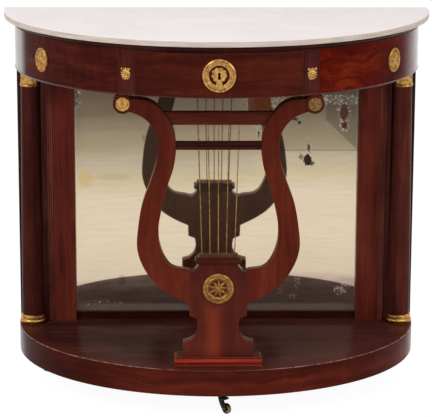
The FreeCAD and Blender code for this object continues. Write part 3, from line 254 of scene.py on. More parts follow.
@dataclass(frozen=True)
class Mahogany:
    """French-polished mahogany, as veneer or solid.

    Attributes:
        name: name of the material.
        grain: way in which the grain runs.
        dark: colour of the dark streaks.
        middle: colour of most of the wood.
        light: colour of the light streaks.
        streak: width of a streak in millimetres.
        flame: bend of the streaks, in millimetres.
        roll: strength of the bands across the grain.
        roughness: roughness of the polish.
        worn: strength of the pale wear along the plan's edge.
        shift: offset that gives a sheet of its own, in millimetres.
        painted_top_shade: heights in millimetres between which the wood is painted darker toward
            the top, as painted shade, and by how much.
        glance: facing values between which the polish rises, and its weight at the rim.
        gloss: refractive index of the polish.
        calm: how far the figure is evened out, from 0 to 1.
        heart: strength of a light streak low in the middle.
        sides: how far the wood is painted darker toward the left and lighter toward the right, as
            a painted reflection of the room.
    """

    name: str
    grain: Grain
    dark: tuple = srgb(40, 14, 12)
    middle: tuple = srgb(64, 25, 20)
    light: tuple = srgb(92, 40, 30)
    streak: float = 7.0
    flame: float = 18.0
    roll: float = 0.35
    roughness: float = 0.3
    worn: float = 0.0
    shift: float = 0.0
    painted_top_shade: Ring = (0.0, 1.0, 0.0)
    glance: Ring = (0.6, 0.95, 0.3)
    gloss: float = 1.5
    calm: float = 0.0
    heart: float = 0.0
    sides: tuple[float, float] = (0.0, 0.0)

    def build(self) -> bpy.types.Material:
        """Make the material."""
        net = Net(self.name)
        x, y, z = net.place()
        along, across, other = self.frame_of(net, x, y, z)
        along = net.plus(along, self.shift)
        broad = net.vector((along, 110.0), (across, 70.0), (other, 70.0))
        warp = net.minus(net.noise(broad, 1.0, 2.0), 0.5)
        bent = net.scaled(warp, self.flame * 2.0, across)
        streaks = net.vector((along, self.streak * 26.0), (bent, self.streak),
                             (other, self.streak))
        figure = net.noise(streaks, 1.0, 5.0, 0.62)
        cloud = net.noise(net.vector((along, 160.0), (bent, 45.0), (other, 45.0)), 1.0, 3.0)
        bands = net.noise(net.vector((along, 16.0), (bent, 70.0), (other, 70.0)), 1.0, 2.0)
        tone = net.scaled(cloud, 0.8, net.times(figure, 0.75))
        tone = net.scaled(bands, self.roll, tone)
        tone = net.minus(tone, 0.775 + self.roll * 0.5)
        tone = net.scaled(tone, 1.0 - self.calm, 0.495)
        colour = net.ramp(tone, (0.2, self.dark), (0.5, self.middle), (0.85, self.light))
        pores = net.vector((along, 9.0), (bent, 0.45), (other, 0.45))
        pore = net.smooth(net.noise(pores, 1.0, 2.0), 0.62, 0.78)
        colour = net.mix(net.times(pore, 0.5), colour, self.dark)
        wear = net.noise(net.vector((along, 60.0), (across, 40.0), (other, 40.0)), 1.0, 4.0)
        rough = net.smooth(wear, 0.3, 0.75, self.roughness - 0.06, self.roughness + 0.1)
        ripple = net.noise(net.vector((along, 40.0), (across, 18.0), (other, 18.0)), 1.0, 2.0)
        # Painted shade: the wood grows darker toward the top between the given heights.
        if self.painted_top_shade[2]:
            colour = net.mix(net.smooth(z, self.painted_top_shade[0], self.painted_top_shade[1], 0.0, self.painted_top_shade[2]),
                             colour, self.dark)
        # Painted reflection: darker toward the left end, lighter toward the right.
        darker, lighter = self.sides
        if darker:
            colour = net.mix(net.smooth(x, -120.0, -380.0, 0.0, darker), colour, self.dark)
        if lighter:
            colour = net.mix(net.smooth(x, 0.0, 260.0, 0.0, lighter), colour, self.light)
        if self.heart:
            aside = net.size(net.plus(bent, 9.0))
            core = net.times(net.smooth(aside, 26.0, 4.0, 0.0, self.heart),
                             net.smooth(z, 262.0, 225.0))
            colour = net.mix(core, colour, self.light)
        if self.worn:
            reach = self.reach_of(net, x, y)
            colour = net.mix(net.smooth(reach, 0.9, 0.995, 0.0, 0.8), colour, srgb(82, 34, 27))
            colour = net.mix(self.wear_of(net, x, y, z), colour, srgb(184, 146, 136))
        facing = net.node("LayerWeight", {"Blend": 0.5}).outputs["Facing"]
        start, end, weight = self.glance
        polish = net.smooth(facing, start, end, 0.0, weight)
        return net.surface({"Base Color": colour, "Roughness": rough, "Coat Weight": polish,
                            "Coat Roughness": 0.06, "Coat IOR": self.gloss,
                            "Specular IOR Level": 0.03,
                            "Normal": net.bump(ripple, 0.0004, 0.35)})

    def wear_of(self, net: Net, x: Any, y: Any, z: Any) -> Any:
        """Strength of the wear on the upper arris of the plan's outline, with a few chips."""
        reach = self.reach_of(net, x, y)
        top = net.smooth(z, PLAN.z_base / MM - 2.2, PLAN.z_base / MM - 0.5)
        rubbed = net.noise(net.vector((x, 14.0), (y, 14.0), 0.0), 1.0, 5.0, 0.65)
        chip = net.smooth(net.noise(net.vector((x, 11.0), (y, 11.0), 5.0), 1.0, 2.0), 0.66, 0.72,
                          0.0, 0.006)
        edge = net.smooth(net.plus(reach, chip), 0.9955, 0.9985)
        line = net.times(net.times(edge, top), net.smooth(rubbed, 0.36, 0.62, 0.15, 1.0))
        aside = net.smooth(net.size(x), 60.0, 150.0, 0.15, 1.0)
        return net.times(net.times(line, aside), self.worn)

    @staticmethod
    def reach_of(net: Net, x: Any, y: Any) -> Any:
        """Distance from the plan's centre as a share of the distance to its outline."""
        wide = net.over(x, PLAN.half / MM)
        ahead = net.over(net.minus(PLAN.centre / MM, y), PLAN.bow / MM)
        return net.math("SQRT", net.scaled(wide, wide, net.times(ahead, ahead)))

    def frame_of(self, net: Net, x: Any, y: Any, z: Any) -> tuple:
        """Coordinates along the grain, across it and into the wood, in millimetres."""
        if self.grain in (Grain.BOWED, Grain.BOWED_UPRIGHT):
            ahead = net.minus(PLAN.centre / MM, y)
            stretch = PLAN.half / PLAN.bow
            angle = net.math("ARCTAN2", x, net.times(ahead, stretch))
            arc = net.times(angle, 430.0)
            return (arc, z, 0.0) if self.grain is Grain.BOWED else (z, arc, 0.0)
        order = {Grain.UPRIGHT: (z, x, y), Grain.LENGTHWISE: (x, z, y), Grain.FLAT: (x, y, z)}
        return order[self.grain]


@dataclass(frozen=True)
class PlainWood:
    """Old unpolished softwood or oak of the hidden pieces."""

    name: str
    dark: tuple = srgb(86, 58, 36)
    light: tuple = srgb(150, 112, 76)
    roughness: float = 0.75

    def build(self) -> bpy.types.Material:
        """Make the material."""
        net = Net(self.name)
        x, y, z = net.place()
        ring = net.noise(net.vector((x, 320.0), (y, 9.0), (z, 9.0)), 1.0, 4.0)
        colour = net.ramp(ring, (0.25, self.dark), (0.75, self.light))
        stain = net.noise(net.vector((x, 130.0), (y, 130.0), (z, 130.0)), 1.0, 3.0)
        colour = net.mix(net.smooth(stain, 0.35, 0.8), colour, self.dark)
        return net.surface({"Base Color": colour, "Roughness": self.roughness,
                            "Specular IOR Level": 0.12,
                            "Normal": net.bump(ring, 0.0003, 0.5)})


@dataclass(frozen=True)
class Marble:
    """White marble with soft grey clouds and a yellowed edge."""

    name: str = "white_marble"

    def build(self) -> bpy.types.Material:
        """Make the material."""
        net = Net(self.name)
        x, y, z = net.place()
        spot = net.vector((x, 150.0), (y, 110.0), (z, 20.0))
        cloud = net.noise(spot, 1.0, 6.0, 0.6, 0.8)
        colour = net.ramp(cloud, (0.25, srgb(232, 223, 222)), (0.6, srgb(239, 230, 229)),
                          (0.9, srgb(243, 235, 234)))
        vein = net.size(net.minus(net.noise(spot, 0.7, 5.0, 0.6, 1.5), 0.5))
        colour = net.mix(net.smooth(vein, 0.0, 0.03, 0.1, 0.0), colour, srgb(196, 188, 186))
        edge = net.smooth(z, (PLAN.z_top - 0.0012) / MM, (PLAN.z_top - 0.0002) / MM)
        layer = net.noise(net.vector((x, 60.0), (y, 60.0), (z, 4.0)), 1.0, 4.0)
        old = net.ramp(layer, (0.3, srgb(182, 166, 154)), (0.7, srgb(213, 199, 188)))
        colour = net.mix(edge, old, colour)
        return net.surface({"Base Color": colour, "Roughness": 0.42, "Specular IOR Level": 0.1,
                            "Normal": net.bump(cloud, 0.0006, 0.15)})


@dataclass(frozen=True)
class Gilding:
    """Gilt bronze: burnished where it stands proud, matt in the ground."""

    name: str
    bright: tuple = srgb(202, 158, 94)
    deep: tuple = srgb(124, 80, 36)
    roughness: float = 0.42
    grit: float = 0.9

    def build(self) -> bpy.types.Material:
        """Make the material."""
        net = Net(self.name)
        x, y, z = net.place()
        size = 7.0
        spot = net.vector((x, size), (y, size), (z, size))
        cloud = net.noise(spot, 1.0, 5.0, 0.6)
        colour = net.ramp(cloud, (0.3, self.deep), (0.62, self.bright))
        fine = net.noise(spot, self.grit * 14.0, 2.0)
        rough = net.smooth(cloud, 0.3, 0.7, self.roughness + 0.12, self.roughness - 0.05)
        return net.surface({"Base Color": colour, "Metallic": 1.0, "Roughness": rough,
                            "Normal": net.bump(fine, 0.0002, 0.35)})


@dataclass(frozen=True)
class Metal:
    """Plain toned metal."""

    name: str
    colour: tuple
    tarnish: tuple
    roughness: float = 0.4

    def build(self) -> bpy.types.Material:
        """Make the material."""
        net = Net(self.name)
        x, y, z = net.place()
        spot = net.vector((x, 9.0), (y, 9.0), (z, 9.0))
        cloud = net.noise(spot, 1.0, 5.0, 0.6)
        colour = net.ramp(cloud, (0.35, self.tarnish), (0.65, self.colour))
        rough = net.smooth(cloud, 0.3, 0.7, self.roughness + 0.15, self.roughness)
        return net.surface({"Base Color": colour, "Metallic": 1.0, "Roughness": rough})


@dataclass(frozen=True)
class Loss:
    """Place on the mirror where the silver is gone or crazed.

    Attributes:
        x: centre across the table, in millimetres.
        z: centre above the floor, in millimetres.
        wide: half width in millimetres.
        high: half height in millimetres.
        bare: how much of the bare back shows, from 0 to 1.
        rim: how much pale crazed silver shows around it, from 0 to 1.
        tone: colour of the bare back.
        square: whether the place has straight sides.
    """

    x: float
    z: float
    wide: float
    high: float
    bare: float
    rim: float
    tone: tuple = srgb(62, 42, 30)
    square: bool = False


@dataclass(frozen=True)
class OldMirror:
    """Old silvered plate: warm and dusty toward the top, painted darker toward the top as a
    reflection of the room, with losses in the silver.
    """

    name: str = "old_mirror"
    # Colour by height: partly the plate's own warm silver, partly a painted reflection of the room
    # that darkens upward.
    silver_and_reflection_tones: tuple[tuple, ...] = (
        (176, srgb(166, 144, 132)), (206, srgb(208, 190, 166)), (301, srgb(219, 201, 173)),
        (397, srgb(216, 199, 174)), (444, srgb(200, 183, 149)), (482, srgb(184, 170, 146)),
        (520, srgb(163, 147, 120)), (558, srgb(150, 134, 111)), (596, srgb(122, 107, 87)),
        (633, srgb(110, 94, 78)),
        (652, srgb(106, 88, 74)))
    dust: tuple[tuple[float, float], ...] = (
        (150, 0.0), (225, 0.0), (290, 0.03), (450, 0.06), (520, 0.12), (600, 0.3), (680, 0.38))
    losses: tuple[Loss, ...] = (
        Loss(99, 628, 26, 21, 1.0, 0.3, srgb(146, 84, 52), True),
        Loss(145, 624, 17, 15, 0.0, 0.9), Loss(60, 628, 12, 20, 0.0, 0.12),
        Loss(97, 566, 4, 9, 0.0, 0.8), Loss(97, 548, 2, 8, 0.9, 0.4),
        Loss(181, 588, 8, 4, 0.9, 0.1), Loss(190, 580, 4, 4, 0.8, 0.1),
        Loss(210, 492, 10, 13, 1.0, 0.15), Loss(222, 484, 6, 5, 0.8, 0.1),
        Loss(196, 500, 4, 6, 0.5, 0.1), Loss(213, 523, 3, 10, 0.8, 0.3),
        Loss(293, 604, 10, 20, 1.0, 1.0, srgb(108, 70, 46)),
        Loss(294, 573, 7, 9, 1.0, 1.0, srgb(94, 60, 40)),
        Loss(258, 634, 8, 6, 0.0, 0.9), Loss(288, 634, 22, 7, 0.0, 1.0),
        Loss(320, 632, 5, 6, 0.0, 0.8), Loss(-322, 640, 7, 20, 0.5, 0.8),
        Loss(290, 180, 10, 8, 0.0, 0.9), Loss(298, 190, 6, 3, 0.0, 0.8),
        Loss(190, 205, 2, 6, 0.0, 0.7), Loss(151, 178, 3, 3, 0.0, 0.6),
        Loss(180, 166, 3, 2, 0.0, 0.6), Loss(-280, 146, 30, 4, 0.0, 0.4),
    )
    stains: tuple[tuple, ...] = (
        (-302, 448, 16, 22, 0.55, srgb(190, 168, 104)),
        (-305, 531, 14, 18, 0.3, srgb(160, 138, 88)),
        (-237, 452, 46, 9, 0.4, srgb(178, 152, 120)), (-167, 544, 4, 8, 0.5, srgb(116, 84, 62)),
        (-219, 202, 9, 14, 0.35, srgb(120, 76, 70)))

    def build(self) -> bpy.types.Material:
        """Make the material."""
        net = Net(self.name)
        x, _, z = net.place()
        crackle = net.noise(net.vector((x, 3.4), 7.0, (z, 4.2)), 1.0, 4.0, 0.75)
        broad = net.noise(net.vector((x, 11.0), 4.0, (z, 11.0)), 1.0, 4.0, 0.6)
        ragged = net.scaled(crackle, 17.0, net.scaled(broad, 13.0, -15.0))
        bare: Any = 0.0
        rim: Any = 0.0
        ground: Any = srgb(62, 42, 30)
        for loss in self.losses:
            dx = net.over(net.minus(x, loss.x), loss.wide)
            dz = net.over(net.minus(z, loss.z), loss.high)
            if loss.square:
                far = net.larger(net.size(dx), net.size(dz))
            else:
                far = net.math("SQRT", net.scaled(dx, dx, net.times(dz, dz)))
            size = min(loss.wide, loss.high)
            rough = 0.25 if loss.square else 1.0
            gap = net.scaled(ragged, rough, net.scaled(far, size, -size))
            if loss.bare:
                inside = net.smooth(gap, 0.8, -0.8, 0.0, loss.bare)
                ground = net.mix(inside, ground, loss.tone)
                bare = net.larger(bare, inside)
            rim = net.larger(rim, net.smooth(gap, 6.0, 3.0, 0.0, loss.rim))
        silver, dust = self.silver(net, x, z)
        strip = net.smooth(net.scaled(ragged, 0.5, z), 151.0, 143.0, 0.0, 0.16)
        side = net.minus(326.0, net.size(x))
        side = net.smooth(net.scaled(ragged, 0.25, side), 5.0, 0.0, 0.0, 0.25)
        patch = net.noise(net.vector((x, 15.0), 2.0, (z, 12.0)), 1.0, 3.0, 0.6)
        rim = net.times(rim, net.smooth(patch, 0.36, 0.56, 0.15, 1.0))
        flaked = net.noise(net.vector((x, 6.5), 9.0, (z, 6.5)), 1.0, 4.0, 0.75, 1.2)
        crazed = net.smooth(crackle, 0.56, 0.62, 0.0, 0.7)
        pale = net.times(rim, net.larger(net.smooth(flaked, 0.52, 0.6), crazed))
        haze = net.larger(pale, net.larger(strip, side))
        colour = net.mix(haze, silver, srgb(232, 226, 212))
        burnt = net.times(rim, net.smooth(crackle, 0.43, 0.36, 0.0, 0.7))
        bare = net.larger(bare, burnt)
        speck = net.smooth(net.noise(net.vector((x, 4.0), 1.0, (z, 4.0)), 1.0, 2.0), 0.76, 0.82)
        bare = net.larger(bare, net.times(speck, 0.5))
        ground = net.mix(net.smooth(crackle, 0.42, 0.62, 0.0, 0.6), ground, srgb(48, 30, 21))
        colour = net.mix(bare, colour, ground)
        dull = net.larger(net.larger(haze, bare), dust)
        shine = net.minus(1.0, dull)
        wave = net.noise(net.vector((x, 150.0), 0.0, (z, 150.0)), 1.0, 1.0)
        return net.surface({"Base Color": colour, "Metallic": shine,
                            "Roughness": net.smooth(haze, 0.0, 1.0, 0.03, 0.4),
                            "Specular IOR Level": 0.1,
                            "Normal": net.bump(wave, 0.0006, 0.5)})

    def silver(self, net: Net, x: Any, z: Any) -> tuple:
        """Colour of the sound silver with painted reflections of the room in it, and the share of
        dust on it.
        """
        # Painted reflection: the silver's colour grows darker toward the top and lighter toward
        # the right, as the room it reflects.
        right = net.smooth(x, -50.0, 170.0)
        mist = net.noise(net.vector((x, 130.0), 3.0, (z, 30.0)), 1.0, 5.0, 0.6, 0.5)
        level = net.scaled(net.minus(mist, 0.5), 45.0, z)
        level = net.scaled(right, -20.0, level)
        low, high = 150.0, 680.0
        place = net.smooth_line(level, low, high)
        silver = net.ramp(place, *[((height - low) / (high - low), colour)
                                   for height, colour in self.silver_and_reflection_tones])
        dust = net.ramp(net.smooth_line(z, low, high),
                        *[((height - low) / (high - low), (part, part, part, 1.0))
                          for height, part in self.dust])
        for middle_x, middle_z, wide, high_z, strength, tone in self.stains:
            dx = net.over(net.minus(x, middle_x), wide)
            dz = net.over(net.minus(z, middle_z), high_z)
            far = net.scaled(dx, dx, net.times(dz, dz))
            far = net.scaled(net.minus(mist, 0.5), 2.0, far)
            silver = net.mix(net.smooth(far, 1.4, 0.2, 0.0, strength), silver, tone)
        # Painted reflection: a dark wedge at the right, above a slanting line, the reflection of
        # something in the room.
        slant = net.scaled(x, 0.98, net.minus(z, 833.0))
        reflected_wedge = net.times(net.smooth(slant, -2.0, 3.0), net.smooth(x, 249.0, 255.0))
        silver = net.mix(net.times(reflected_wedge, 0.4), silver, srgb(40, 32, 24))
        # Painted reflection: a slightly darker band above a dark line at 515 mm over the right
        # part, reflections of the room.
        reflected_band = net.times(net.smooth(z, 513.0, 516.0, 0.0, 0.2), net.smooth(x, 120.0, 160.0))
        reflected_line = net.smooth(net.size(net.minus(z, 515.0)), 2.2, 0.6, 0.0, 0.5)
        reflected_line = net.times(reflected_line, net.smooth(x, 120.0, 160.0))
        silver = net.mix(net.larger(reflected_band, reflected_line), silver, srgb(60, 48, 38))
        brushed = net.noise(net.vector((x, 80.0), 5.0, (z, 7.0)), 1.0, 5.0, 0.7)
        silver = net.mix(net.smooth(brushed, 0.4, 0.75, 0.0, 0.1), silver, srgb(120, 100, 78))
        return silver, dust


class Palette:
    """All the finishes of the table, built once."""

    def __init__(self) -> None:
        """Build the materials."""
        self.marble = Marble().build()
        self.frieze = Mahogany("frieze_veneer", Grain.BOWED, flame=26.0, streak=8.0,
                               dark=srgb(40, 10, 7), middle=srgb(64, 19, 13),
                               light=srgb(92, 36, 25), glance=(0.62, 0.75, 1.0),
                               gloss=3.2).build()
        self.frieze_right = Mahogany("frieze_veneer_right", Grain.BOWED, flame=60.0, streak=16.0,
                                     dark=srgb(40, 6, 3), middle=srgb(82, 13, 3),
                                     light=srgb(136, 46, 18), shift=900.0, roll=0.1,
                                     glance=(0.55, 0.87, 1.0), gloss=3.2).build()
        self.bead = Mahogany("bead_wood", Grain.BOWED, dark=srgb(52, 22, 18),
                             middle=srgb(74, 32, 26), light=srgb(100, 48, 38), flame=3.0,
                             glance=(0.0, 0.6, 1.0)).build()
        self.drawer = Mahogany("drawer_veneer", Grain.BOWED, flame=30.0, streak=12.0,
                               dark=srgb(38, 10, 6), middle=srgb(66, 22, 13),
                               light=srgb(98, 38, 22), shift=400.0, roll=0.15).build()
        self.stile = Mahogany("stile_veneer", Grain.BOWED_UPRIGHT, flame=6.0, streak=6.0,
                              middle=srgb(71, 26, 19), shift=200.0).build()
        self.moulding = Mahogany("moulding_wood", Grain.BOWED, dark=srgb(34, 11, 9),
                                 middle=srgb(58, 24, 20), light=srgb(84, 39, 32), flame=4.0,
                                 streak=4.0, roughness=0.28, glance=(0.3, 0.95, 0.16)).build()
        # The columns share one veneer: the right copy is lighter, as painted light, and the left
        # copy darker, as painted shade.
        self.column = Mahogany("column_veneer", Grain.UPRIGHT, dark=srgb(46, 17, 13),
                               middle=srgb(78, 33, 26), light=srgb(106, 52, 40), flame=8.0,
                               streak=9.0, roll=0.1, glance=(0.3, 0.9, 0.04)).build()
        self.column_shaded = Mahogany("column_veneer_shaded", Grain.UPRIGHT, dark=srgb(38, 13, 10),
                                    middle=srgb(58, 21, 16), light=srgb(80, 35, 27), flame=8.0,
                                    streak=9.0, roll=0.1, glance=(0.3, 0.9, 0.03)).build()
        self.panel = Mahogany("panel_veneer", Grain.UPRIGHT, dark=srgb(62, 20, 13),
                              middle=srgb(93, 36, 26), light=srgb(116, 50, 36), flame=10.0,
                              streak=9.0, roll=0.1).build()
        self.reed = Mahogany("reed_wood", Grain.UPRIGHT, dark=srgb(64, 31, 25),
                             middle=srgb(108, 53, 44), light=srgb(148, 82, 69), flame=3.0,
                             streak=4.0, roll=0.1, glance=(0.0, 0.6, 0.5)).build()
        # Lower mirror rail: panel wood painted darker, as painted shade in the recess under the
        # mirror.
        self.rail = Mahogany("shaded_rail_veneer", Grain.LENGTHWISE, dark=srgb(32, 9, 7),
                             middle=srgb(50, 16, 12), light=srgb(66, 28, 21), flame=4.0,
                             streak=5.0, roll=0.1, glance=(0.8, 1.0, 0.1)).build()
        # The lyre's arms and block are painted darker toward their tops, under the frieze and the
        # shelf, as painted shade.
        self.lyre = Mahogany("lyre_veneer", Grain.UPRIGHT, dark=srgb(50, 14, 8),
                             middle=srgb(94, 35, 22), light=srgb(132, 58, 34), flame=26.0,
                             streak=15.0, roll=0.12, painted_top_shade=(420.0, 690.0, 0.5),
                             calm=0.35).build()
        self.lyre_block = Mahogany("lyre_block_veneer", Grain.UPRIGHT, dark=srgb(50, 22, 17),
                                   middle=srgb(82, 33, 24), light=srgb(124, 49, 31), flame=16.0,
                                   streak=18.0, roll=0.1, painted_top_shade=(275.0, 330.0, 0.45), calm=0.35,
                                   heart=0.75).build()
        # Rear faces of the lyre: duller wood, painted lighter to stand for the light the mirror
        # throws back on them.
        self.lyre_back = Mahogany("lyre_rear_wood_lit", Grain.UPRIGHT, dark=srgb(84, 44, 30),
                                  middle=srgb(112, 60, 42), light=srgb(136, 78, 56), flame=8.0,
                                  streak=8.0, roughness=0.5, glance=(0.6, 0.95, 0.03)).build()
        self.bar = Mahogany("bar_veneer", Grain.LENGTHWISE, dark=srgb(44, 13, 8),
                            middle=srgb(69, 27, 17), light=srgb(96, 42, 29), flame=3.0,
                            streak=5.0, roll=0.1).build()
        self.reeded_bar = Mahogany("reeded_bar_wood", Grain.LENGTHWISE, dark=srgb(26, 8, 6),
                                   middle=srgb(50, 18, 13), light=srgb(74, 30, 22), flame=2.0,
                                   streak=4.0, roll=0.1, glance=(0.0, 0.5, 0.35)).build()
        # The plinth's top is painted lighter toward the right and its curved face darker toward
        # the left, as painted reflections of the room.
        self.plinth_top = Mahogany("plinth_top_wood", Grain.FLAT, dark=srgb(40, 16, 14),
                                   middle=srgb(60, 28, 25), light=srgb(86, 46, 41), flame=8.0,
                                   streak=9.0, roll=0.1, roughness=0.22, worn=0.8,
                                   sides=(0.0, 0.45),
                                   glance=(0.78, 1.0, 0.3)).build()
        self.plinth = Mahogany("plinth_veneer", Grain.BOWED, dark=srgb(48, 12, 7),
                               middle=srgb(76, 25, 15), light=srgb(109, 41, 26), flame=20.0,
                               streak=14.0, roll=0.15, shift=1500.0,
                               glance=(0.7, 0.95, 0.4), gloss=2.4, sides=(0.75, 0.0)).build()
        self.foot = Mahogany("foot_plate_wood", Grain.LENGTHWISE, dark=srgb(96, 28, 20),
                             middle=srgb(145, 47, 34), light=srgb(176, 72, 54), flame=2.0,
                             streak=4.0, roll=0.1).build()
        self.carcass = PlainWood("carcass_wood").build()
        self.backboard = PlainWood("backboard_wood", srgb(34, 16, 12), srgb(66, 34, 25)).build()
        self.gilt = Gilding("gilt_bronze").build()
        self.gilt_smooth = Gilding("gilt_bronze_smooth", srgb(198, 152, 84), srgb(132, 84, 36),
                                   0.3, 0.3).build()
        self.gilt_dull = Gilding("gilt_bronze_dull", srgb(166, 122, 66), srgb(84, 52, 24)).build()
        self.string = Metal("string_brass", srgb(176, 132, 72), srgb(110, 70, 34), 0.35).build()
        self.steel = Metal("lock_steel", srgb(120, 116, 110), srgb(74, 68, 62), 0.45).build()
        self.caster = Metal("caster_brass", srgb(50, 42, 32), srgb(14, 11, 8), 0.4).build()
        self.wheel = Metal("wheel_brass", srgb(150, 126, 84), srgb(70, 54, 34), 0.3).build()
        self.copper = Gilding("worn_roundel", srgb(142, 106, 66), srgb(86, 60, 36), 0.45).build()
        self.mirror = OldMirror().build()


# ------------------------------------------------------------------------ modelling steps


class Bench:
    """Steps of modelling that the pieces share."""

    @staticmethod
    def rest() -> None:
        """Leave edit mode and deselect everything."""
        active = bpy.context.view_layer.objects.active
        if active is not None and active.mode != "OBJECT":
            bpy.ops.object.mode_set(mode="OBJECT")
        bpy.ops.object.select_all(action="DESELECT")

    @staticmethod
    def pick(*objects: bpy.types.Object) -> None:
        """Select only these objects; the first becomes the active one."""
        Bench.rest()
        for item in objects:
            item.select_set(True)
        bpy.context.view_layer.objects.active = objects[0]

    @staticmethod
    def edit(item: bpy.types.Object, everything: bool = True) -> None:
        """Open one object in edit mode."""
        Bench.pick(item)
        bpy.ops.object.mode_set(mode="EDIT")
        bpy.ops.mesh.select_all(action="SELECT" if everything else "DESELECT")

    @staticmethod
    def tidy(item: bpy.types.Object, merge: float = 1e-6) -> bpy.types.Object:
        """Apply the placing, merge doubles and turn the faces outward.

        Args:
            item: the object.
            merge: distance below which points become one.

        Returns:
            The object.
        """
        Bench.pick(item)
        bpy.ops.object.transform_apply(location=True, rotation=True, scale=True)
        Bench.edit(item)
        bpy.ops.mesh.remove_doubles(threshold=merge)
        bpy.ops.mesh.normals_make_consistent(inside=False)
        bpy.ops.object.mode_set(mode="OBJECT")
        return item

    @staticmethod
    def select_faces(item: bpy.types.Object, test: Callable[[bmesh.types.BMFace], bool]) -> None:
        """Select in edit mode the faces that pass a test."""
        mesh = bmesh.from_edit_mesh(item.data)
        chosen = [face for face in mesh.faces if test(face)]
        for face in mesh.faces:
            face.select_set(False)
        for face in chosen:
            face.select_set(True)
        bmesh.update_edit_mesh(item.data)

    @staticmethod
    def tower(name: str, rings: Sequence[Ring], centre: tuple[float, float] = (0.0, 0.0),
              segments: int = 96, loop: bool = False) -> bpy.types.Object:
        """Round or oval form: one ring drawn up through the others.

        Args:
            name: name of the object.
            rings: radii along X and Y, and height, of each ring.
            centre: X and Y of the axis.
            segments: points of a ring.
            loop: whether the last ring meets the first, which leaves an open middle.

        Returns:
            The object, at the origin.
        """
        Bench.rest()
        first = rings[0]
        bpy.ops.mesh.primitive_circle_add(vertices=segments, radius=1.0,
                                          fill_type="NOTHING" if loop else "NGON",
                                          location=(*centre, first[2]))
        item = bpy.context.object
        item.name = name
        bpy.ops.object.mode_set(mode="EDIT")
        bpy.ops.mesh.select_all(action="SELECT")
        bpy.ops.transform.resize(value=(first[0], first[1], 1.0),
                                 center_override=(*centre, first[2]))
        Bench.draw_up(rings, centre)
        return Bench.tidy(item)

    @staticmethod
    def turned(name: str, points: Sequence[tuple[float, float]],
               centre: tuple[float, float] = (0.0, 0.0), segments: int = 96,
               loop: bool = False) -> bpy.types.Object:
        """Round form from the radius and height of each ring."""
        rings = [(radius, radius, z) for radius, z in points]
        return Bench.tower(name, rings, centre, segments, loop)

    @staticmethod
    def reshape(item: bpy.types.Object, change: Callable[[Vector], None]) -> None:
        """Move the points of an object, each by its place."""
        Bench.edit(item, False)
        mesh = bmesh.from_edit_mesh(item.data)
        for point in mesh.verts:
            change(point.co)
        bmesh.update_edit_mesh(item.data)
        bpy.ops.object.mode_set(mode="OBJECT")

    @staticmethod
    def draw_up(rings: Sequence[Ring], centre: tuple[float, float]) -> None:
        """Extrude and scale what is selected from ring to ring."""
        for before, after in zip(rings, rings[1:]):
            bpy.ops.mesh.extrude_region_move(
                TRANSFORM_OT_translate={"value": (0.0, 0.0, after[2] - before[2])})
            bpy.ops.transform.resize(value=(after[0] / before[0], after[1] / before[1], 1.0),
                                     center_override=(*centre, after[2]))

    @staticmethod
    def stack(name: str, rings: Sequence[Ring], centre: tuple[float, float]) -> bpy.types.Object:
        """Four-sided form drawn up through rectangles of half widths and heights."""
        Bench.rest()
        first = rings[0]
        bpy.ops.mesh.primitive_plane_add(size=2.0, location=(*centre, first[2]))
        item = bpy.context.object
        item.name = name
        bpy.ops.object.mode_set(mode="EDIT")
        bpy.ops.mesh.select_all(action="SELECT")
        bpy.ops.transform.resize(value=(first[0], first[1], 1.0),
                                 center_override=(*centre, first[2]))
        Bench.draw_up(rings, centre)
        return Bench.tidy(item)

    @staticmethod
    def bowed(name: str, profile: Sequence[tuple[float, float]], half: float = PLAN.half,
              bow: float = PLAN.bow, segments: int = 256, loop: bool = True) -> bpy.types.Object:
        """Form on the table's plan: a half ellipse with short straight ends to the wall.

        Args:
            name: name of the object.
            profile: distance in front of the face, and height, of each point.
            half: half width of the plan.
            bow: depth of the half ellipse.
            segments: points of the full ellipse.
            loop: whether the form is a wall with an open middle.

        Returns:
            The object.
        """
        rings = [(half + lip, bow + lip, height) for lip, height in profile]
        if loop:
            rings.append(rings[0])
        item = Bench.tower(name, rings, (0.0, PLAN.centre), segments, loop)
        Bench.slice(item, (0.0, PLAN.centre, 0.0), (0.0, 1.0, 0.0))
        Bench.edit(item, False)
        Bench.select_faces(item, lambda face: face.normal.y > 0.9
                           and abs(face.calc_center_median().y - PLAN.centre) < 1e-5)
        bpy.ops.mesh.extrude_region_move(
            TRANSFORM_OT_translate={"value": (0.0, PLAN.back - PLAN.centre, 0.0)})
        return Bench.tidy(item)

    @staticmethod
    def slice(item: bpy.types.Object, point: Sequence[float], normal: Sequence[float]) -> None:
        """Cut an object at a plane, drop what lies on the normal's side, close the cut."""
        Bench.edit(item)
        bpy.ops.mesh.bisect(plane_co=point, plane_no=normal, use_fill=True, clear_outer=True)
        bpy.ops.mesh.select_all(action="SELECT")
        bpy.ops.mesh.normals_make_consistent(inside=False)
        bpy.ops.object.mode_set(mode="OBJECT")

    @staticmethod
    def between(item: bpy.types.Object, low: float, high: float) -> bpy.types.Object:
        """Keep what lies between two values of X."""
        Bench.slice(item, (low, 0.0, 0.0), (-1.0, 0.0, 0.0))
        Bench.slice(item, (high, 0.0, 0.0), (1.0, 0.0, 0.0))
        return item

    @staticmethod
    def modify(item: bpy.types.Object, kind: str, **settings: Any) -> bpy.types.Object:
        """Add a modifier with these settings and apply it."""
        Bench.pick(item)
        made = item.modifiers.new(kind.lower(), kind)
        for key, value in settings.items():
            setattr(made, key, value)
        bpy.ops.object.modifier_apply(modifier=made.name)
        return item

    @staticmethod
    def soften(item: bpy.types.Object, width: float, segments: int = 2,
               angle: float = 35.0) -> bpy.types.Object:
        """Break the sharp arrises."""
        return Bench.modify(item, "BEVEL", width=width, segments=segments,
                            limit_method="ANGLE", angle_limit=math.radians(angle))

